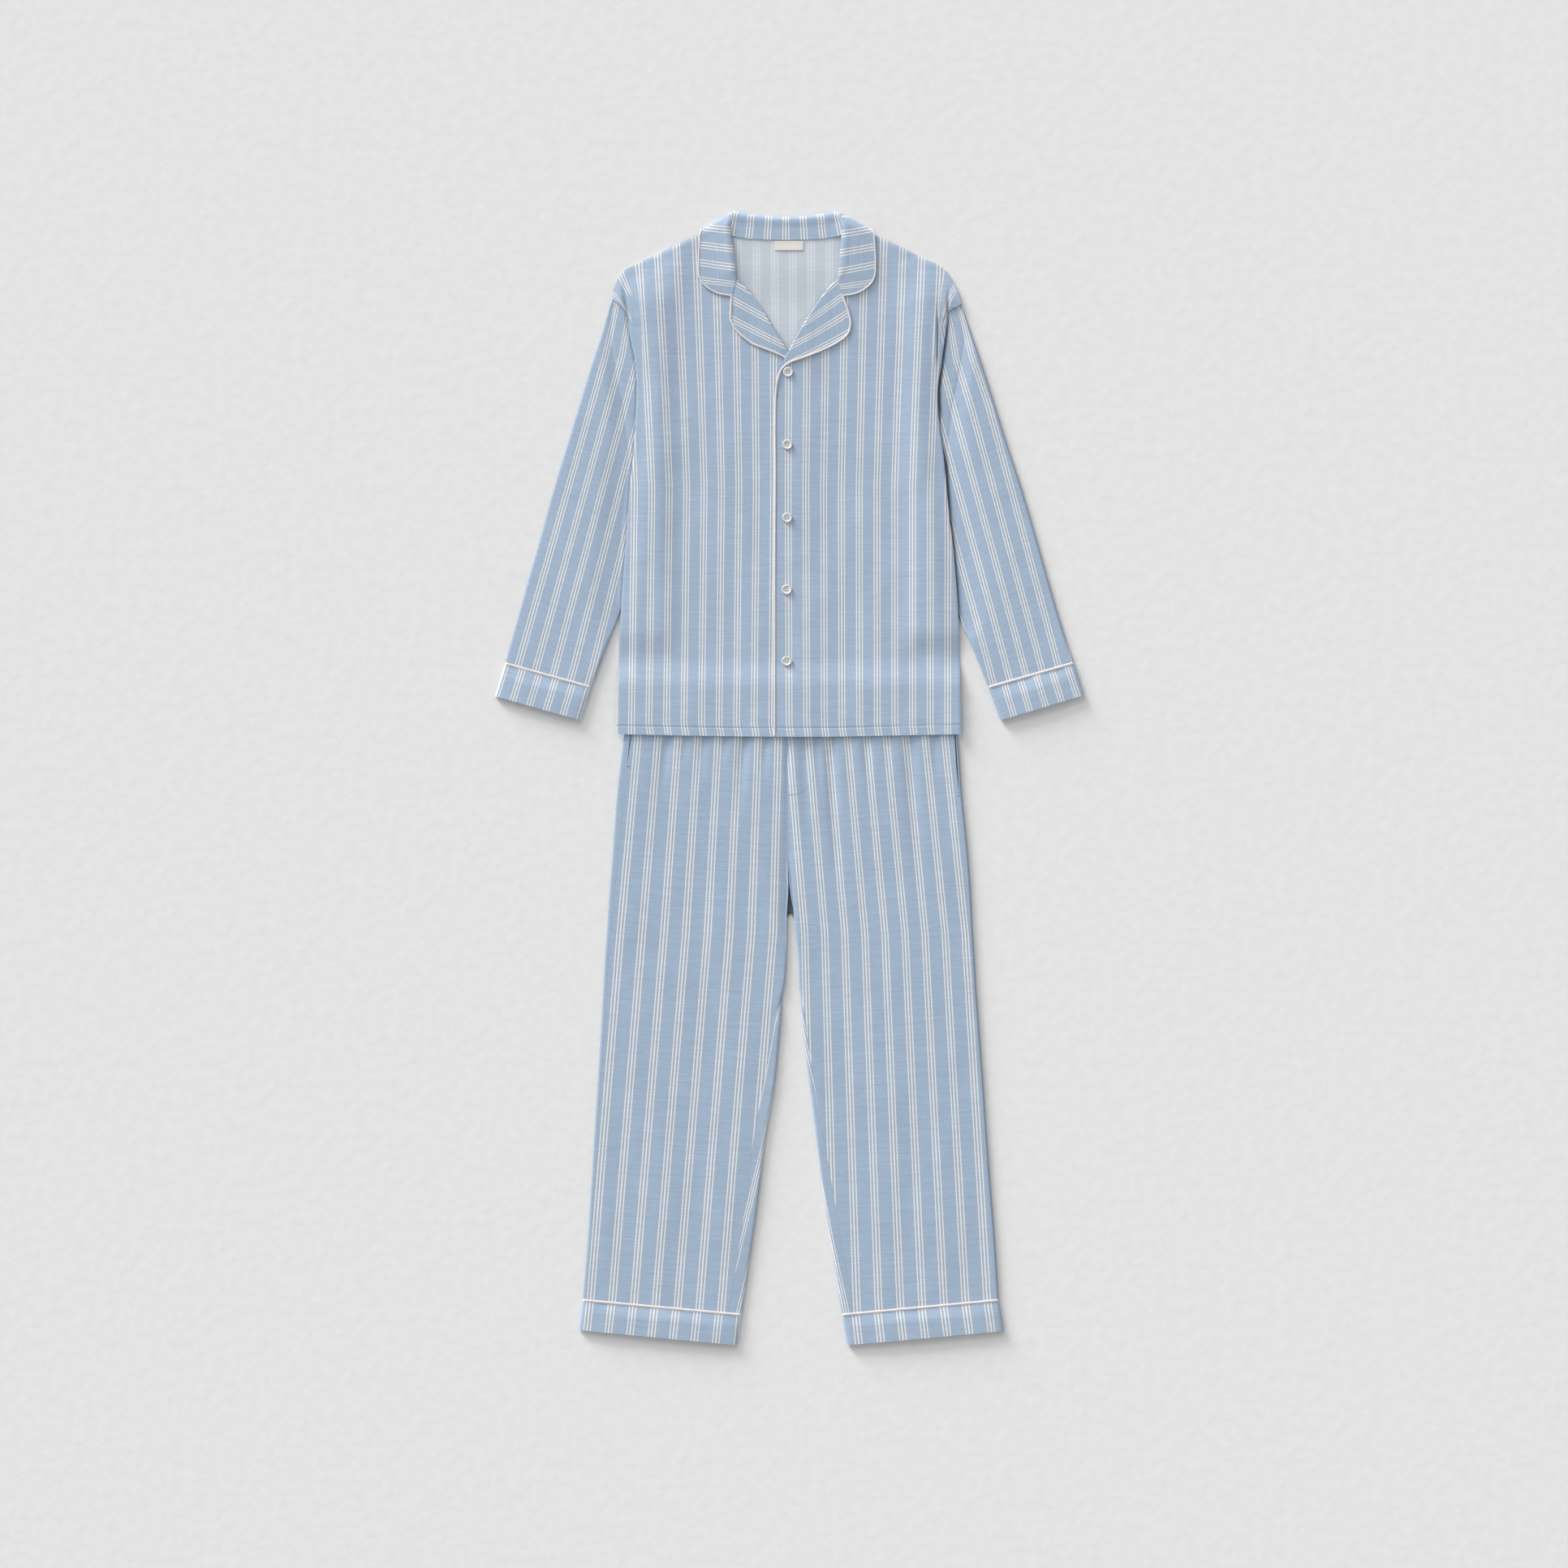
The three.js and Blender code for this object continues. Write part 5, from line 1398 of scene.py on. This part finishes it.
# %% Waistband and pocket bags
sections = []
for y in np.linspace(WAIST_SEAM + 0.4, WAIST_TOP, 10):
    share = (y - WAIST_SEAM) / (WAIST_TOP - WAIST_SEAM)
    ends = (mix(-250.1, -244.4, share), y, mix(255.1, 249.4, share), y)
    ruffle = lambda a: 5.0 - 0.5 * (1 + np.cos(np.asarray(a, float) / 1.9)) * 0.5
    sections.append(ring(ends, CLOTH, LOW, ruffle, 90, 300))
waist_points = np.array(sections)
waistband = wall(
    "waistband_cloth", waist_points, CLOTH, cloth_map("back", waist_points), "trousers", ["waistband"], [cotton], tube=True
)

POCKET_BAG = {
    "right": [(-244, 90), (-256, -20), (-262, -78), (-225, -104), (-165, -96), (-146, -40), (-142, 90)],
    "left": [(249, 90), (257, -20), (262, -78), (226, -104), (166, -96), (148, -40), (144, 90)],
}
for side, outline in POCKET_BAG.items():
    outline = np.array(outline, float)
    middle = outline.mean(0)
    rounded = smooth_line(np.concatenate([outline, outline[:1]]))(np.linspace(0, 1, 60))
    plan = np.stack([mix(middle, rounded, share) for share in np.linspace(0.02, 1, 12)], 0)[:, :-1]
    bag_points = np.concatenate([plan, np.full(plan.shape[:2] + (1,), 1.9)], 2)
    wall(
        f"pocket_bag_{side}_cloth", bag_points, 0.9, cloth_map("back", bag_points), "trousers", [f"pocket_bag_{side}"],
        [cotton_inside], tube=True,
    )

# %% [markdown]
# ## Buttons
#
# A shirt button is turned on a lathe: a dished face inside a raised rim, then four drilled holes. The
# profile is spun here in the same way, and the holes are cut with a Boolean.

# %% Buttons
BUTTON_PLACES = [(-1.9, 625.6), (-3.1, 513.8), (-3.1, 401.3), (-3.8, 290.6), (-3.8, 180.6)]
BUTTON_RADIUS, BUTTON_HEIGHT = 7.65, 2.8


def spun(name, profile, segments):
    profile = np.array(profile, float)
    angle = np.linspace(0, 2 * math.pi, segments, endpoint=False)
    rings = [[(r * math.cos(a), r * math.sin(a), z) for a in angle] for r, z in profile]
    points = [(0, 0, profile[0][1])] + [p for one in rings[1:-1] for p in one] + [(0, 0, profile[-1][1])]
    quads = [(0, 1 + (k + 1) % segments, 1 + k) for k in range(segments)]
    for row in range(len(profile) - 3):
        low, high = 1 + row * segments, 1 + (row + 1) * segments
        quads += [(low + k, low + (k + 1) % segments, high + (k + 1) % segments, high + k) for k in range(segments)]
    last, tip = 1 + (len(profile) - 3) * segments, len(points) - 1
    quads += [(last + k, last + (k + 1) % segments, tip) for k in range(segments)]
    made = bpy.data.meshes.new(name)
    made.from_pydata((np.array(points) * MM).tolist(), [], quads)
    return made


profile = [(0, 0), (5.6, 0), (6.9, 0.35), (7.5, 1.0), (7.65, 1.6), (7.45, 2.25), (6.9, 2.7), (6.3, 2.8),
           (5.7, 2.62), (5.25, 2.2), (4.7, 1.95), (3.0, 1.85), (0, 1.85)]
blank = bpy.data.objects.new("button_blank", spun("button_blank", profile, 56))
scene.collection.objects.link(blank)
for x, y in ((1, 1), (1, -1), (-1, 1), (-1, -1)):
    drill = bpy.data.objects.new("drill", spun("drill", [(0, -5), (0.95, -5), (0.95, 9), (0, 9)], 18))
    drill.location = (1.75 * x * MM, 1.75 * y * MM, 0)
    scene.collection.objects.link(drill)
    cut = blank.modifiers.new("hole", "BOOLEAN")
    cut.operation, cut.object, cut.solver = "DIFFERENCE", drill, "EXACT"
bpy.context.view_layer.update()
button_mesh = bpy.data.meshes.new_from_object(blank.evaluated_get(bpy.context.evaluated_depsgraph_get()))
for spare in [blank] + [o for o in scene.objects if o.name.startswith("drill")]:
    bpy.data.objects.remove(spare)

buttons = []
for k, (x, y) in enumerate(BUTTON_PLACES):
    made = button_mesh.copy()
    made.materials.clear()
    made.materials.append(resin)
    beneath = max(float(left_front_height(np.array(x), np.array(y + side * BUTTON_RADIUS))) for side in (-1, 0, 1))
    angle = math.radians((8, -14, 21, 3, -9)[k])
    spin = np.array([[math.cos(angle), -math.sin(angle), 0], [math.sin(angle), math.cos(angle), 0], [0, 0, 1]])
    points = np.array([v.co for v in made.vertices]) @ spin.T + np.array([x, y, beneath + CLOTH / 2 + 0.35]) * MM
    made.vertices.foreach_set("co", points.astype(np.float32).ravel())
    buttons.append(as_piece(f"button_{k + 1}_resin", made, [f"button_{k + 1}"], 35))
print("button, triangles:", sum(len(p.vertices) - 2 for p in button_mesh.polygons))

# %% [markdown]
# ## Neck tape and stitches
#
# A plain woven tape is sewn inside the neck. Rows of small stitches follow the hem, the fly and the
# pockets. Each stitch is a short raised bead of thread.

# %% Neck tape
across = np.linspace(-22.6, 21.4, 34)
up = np.linspace(813.5, 827.6, 14)
tag_x, tag_y = np.meshgrid(across, up)
curl = 0.5 * rise(827.6 - tag_y, 4, 14) * (0.6 + 0.4 * np.cos(tag_x / 9))
tag_z = back_height(tag_x, tag_y) + CLOTH / 2 + 0.6 + curl
tag_points = np.stack([tag_x, tag_y, tag_z], -1)
neck_tag = wall(
    "neck_tape", tag_points, 0.7, np.stack([tag_x / REPEAT, tag_y / REPEAT], -1), "tag", ["neck_tag"], [tape]
)


# %% Rows of stitches
def stitches(name, plan, height, pitch=3.0, length=2.4, radius=0.36):
    """Beads of thread along a line in plan, half sunk in the cloth below."""
    line = smooth_line(plan)
    dense = line(np.linspace(0, 1, 400))
    whole = np.linalg.norm(np.diff(dense, axis=0), axis=1).sum()
    count = max(2, int(whole / pitch))
    middle = line((np.arange(count) + 0.5) / count)
    ahead = line(np.clip((np.arange(count) + 0.6) / count, 0, 1)) - middle
    ahead /= np.linalg.norm(ahead, axis=1, keepdims=True)
    points, quads = [], []
    for (x, y), (dx, dy) in zip(middle, ahead):
        z = float(height(np.array(x), np.array(y))) + CLOTH / 2
        base = len(points)
        for share, size, lift_ in ((-0.5, 0.5, -0.1), (-0.25, 1, 0.05), (0.25, 1, 0.05), (0.5, 0.5, -0.1)):
            for angle in np.radians((0, 72, 144, 216, 288)):
                side, top = radius * size * math.cos(angle), radius * size * math.sin(angle)
                along = share * length
                points.append((x + dx * along - dy * side, y + dy * along + dx * side, z + top + lift_))
        for ring_ in range(3):
            for k in range(5):
                a, b = base + ring_ * 5 + k, base + ring_ * 5 + (k + 1) % 5
                quads.append((a, a + 5, b + 5, b))
        quads.append(tuple(base + k for k in range(5)))
        quads.append(tuple(base + 19 - k for k in range(5)))
    made = bpy.data.meshes.new(name)
    made.from_pydata((np.array(points) * MM).tolist(), [], quads)
    made.materials.append(thread)
    return as_piece(name, made, [], 60)


def grooved(height):
    return lambda x, y: height(x, y) - 0.45 * groove(above_hem(x, y) - HEM_STITCH)


hem = resample(HEM, 60)
for side, height, kept in (("right", right_front_height, hem[:, 0] < -26), ("left", left_front_height, hem[:, 0] > -17)):
    stitches(f"hem_stitches_{side}", hem[kept] + (0, HEM_STITCH), grooved(height))


def leg_height(x, y):
    return LEG_TOP - gathers(np.atleast_1d(np.asarray(x, float)), np.atleast_1d(np.asarray(y, float)))[0]


for side, tack in (("right", [(-250.5, 18.5), (-246, 18.5)]), ("left", [(258.5, -26.5), (263, -26.5)])):
    stitches(f"pocket_tack_{side}", tack, leg_height, pitch=0.9, length=1.0, radius=0.5)
stitches("fly_stitches", FLY, leg_height, pitch=2.7, length=2.3, radius=0.5)

# %% [markdown]
# ## Both boxes
#
# The box round what renders now is read, and given beside the box of the imported solids.

# %% Keep both boxes and finish
shown_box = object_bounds()
{"cad": [list(corner) for corner in frame_box], "visual": [list(corner) for corner in shown_box]}
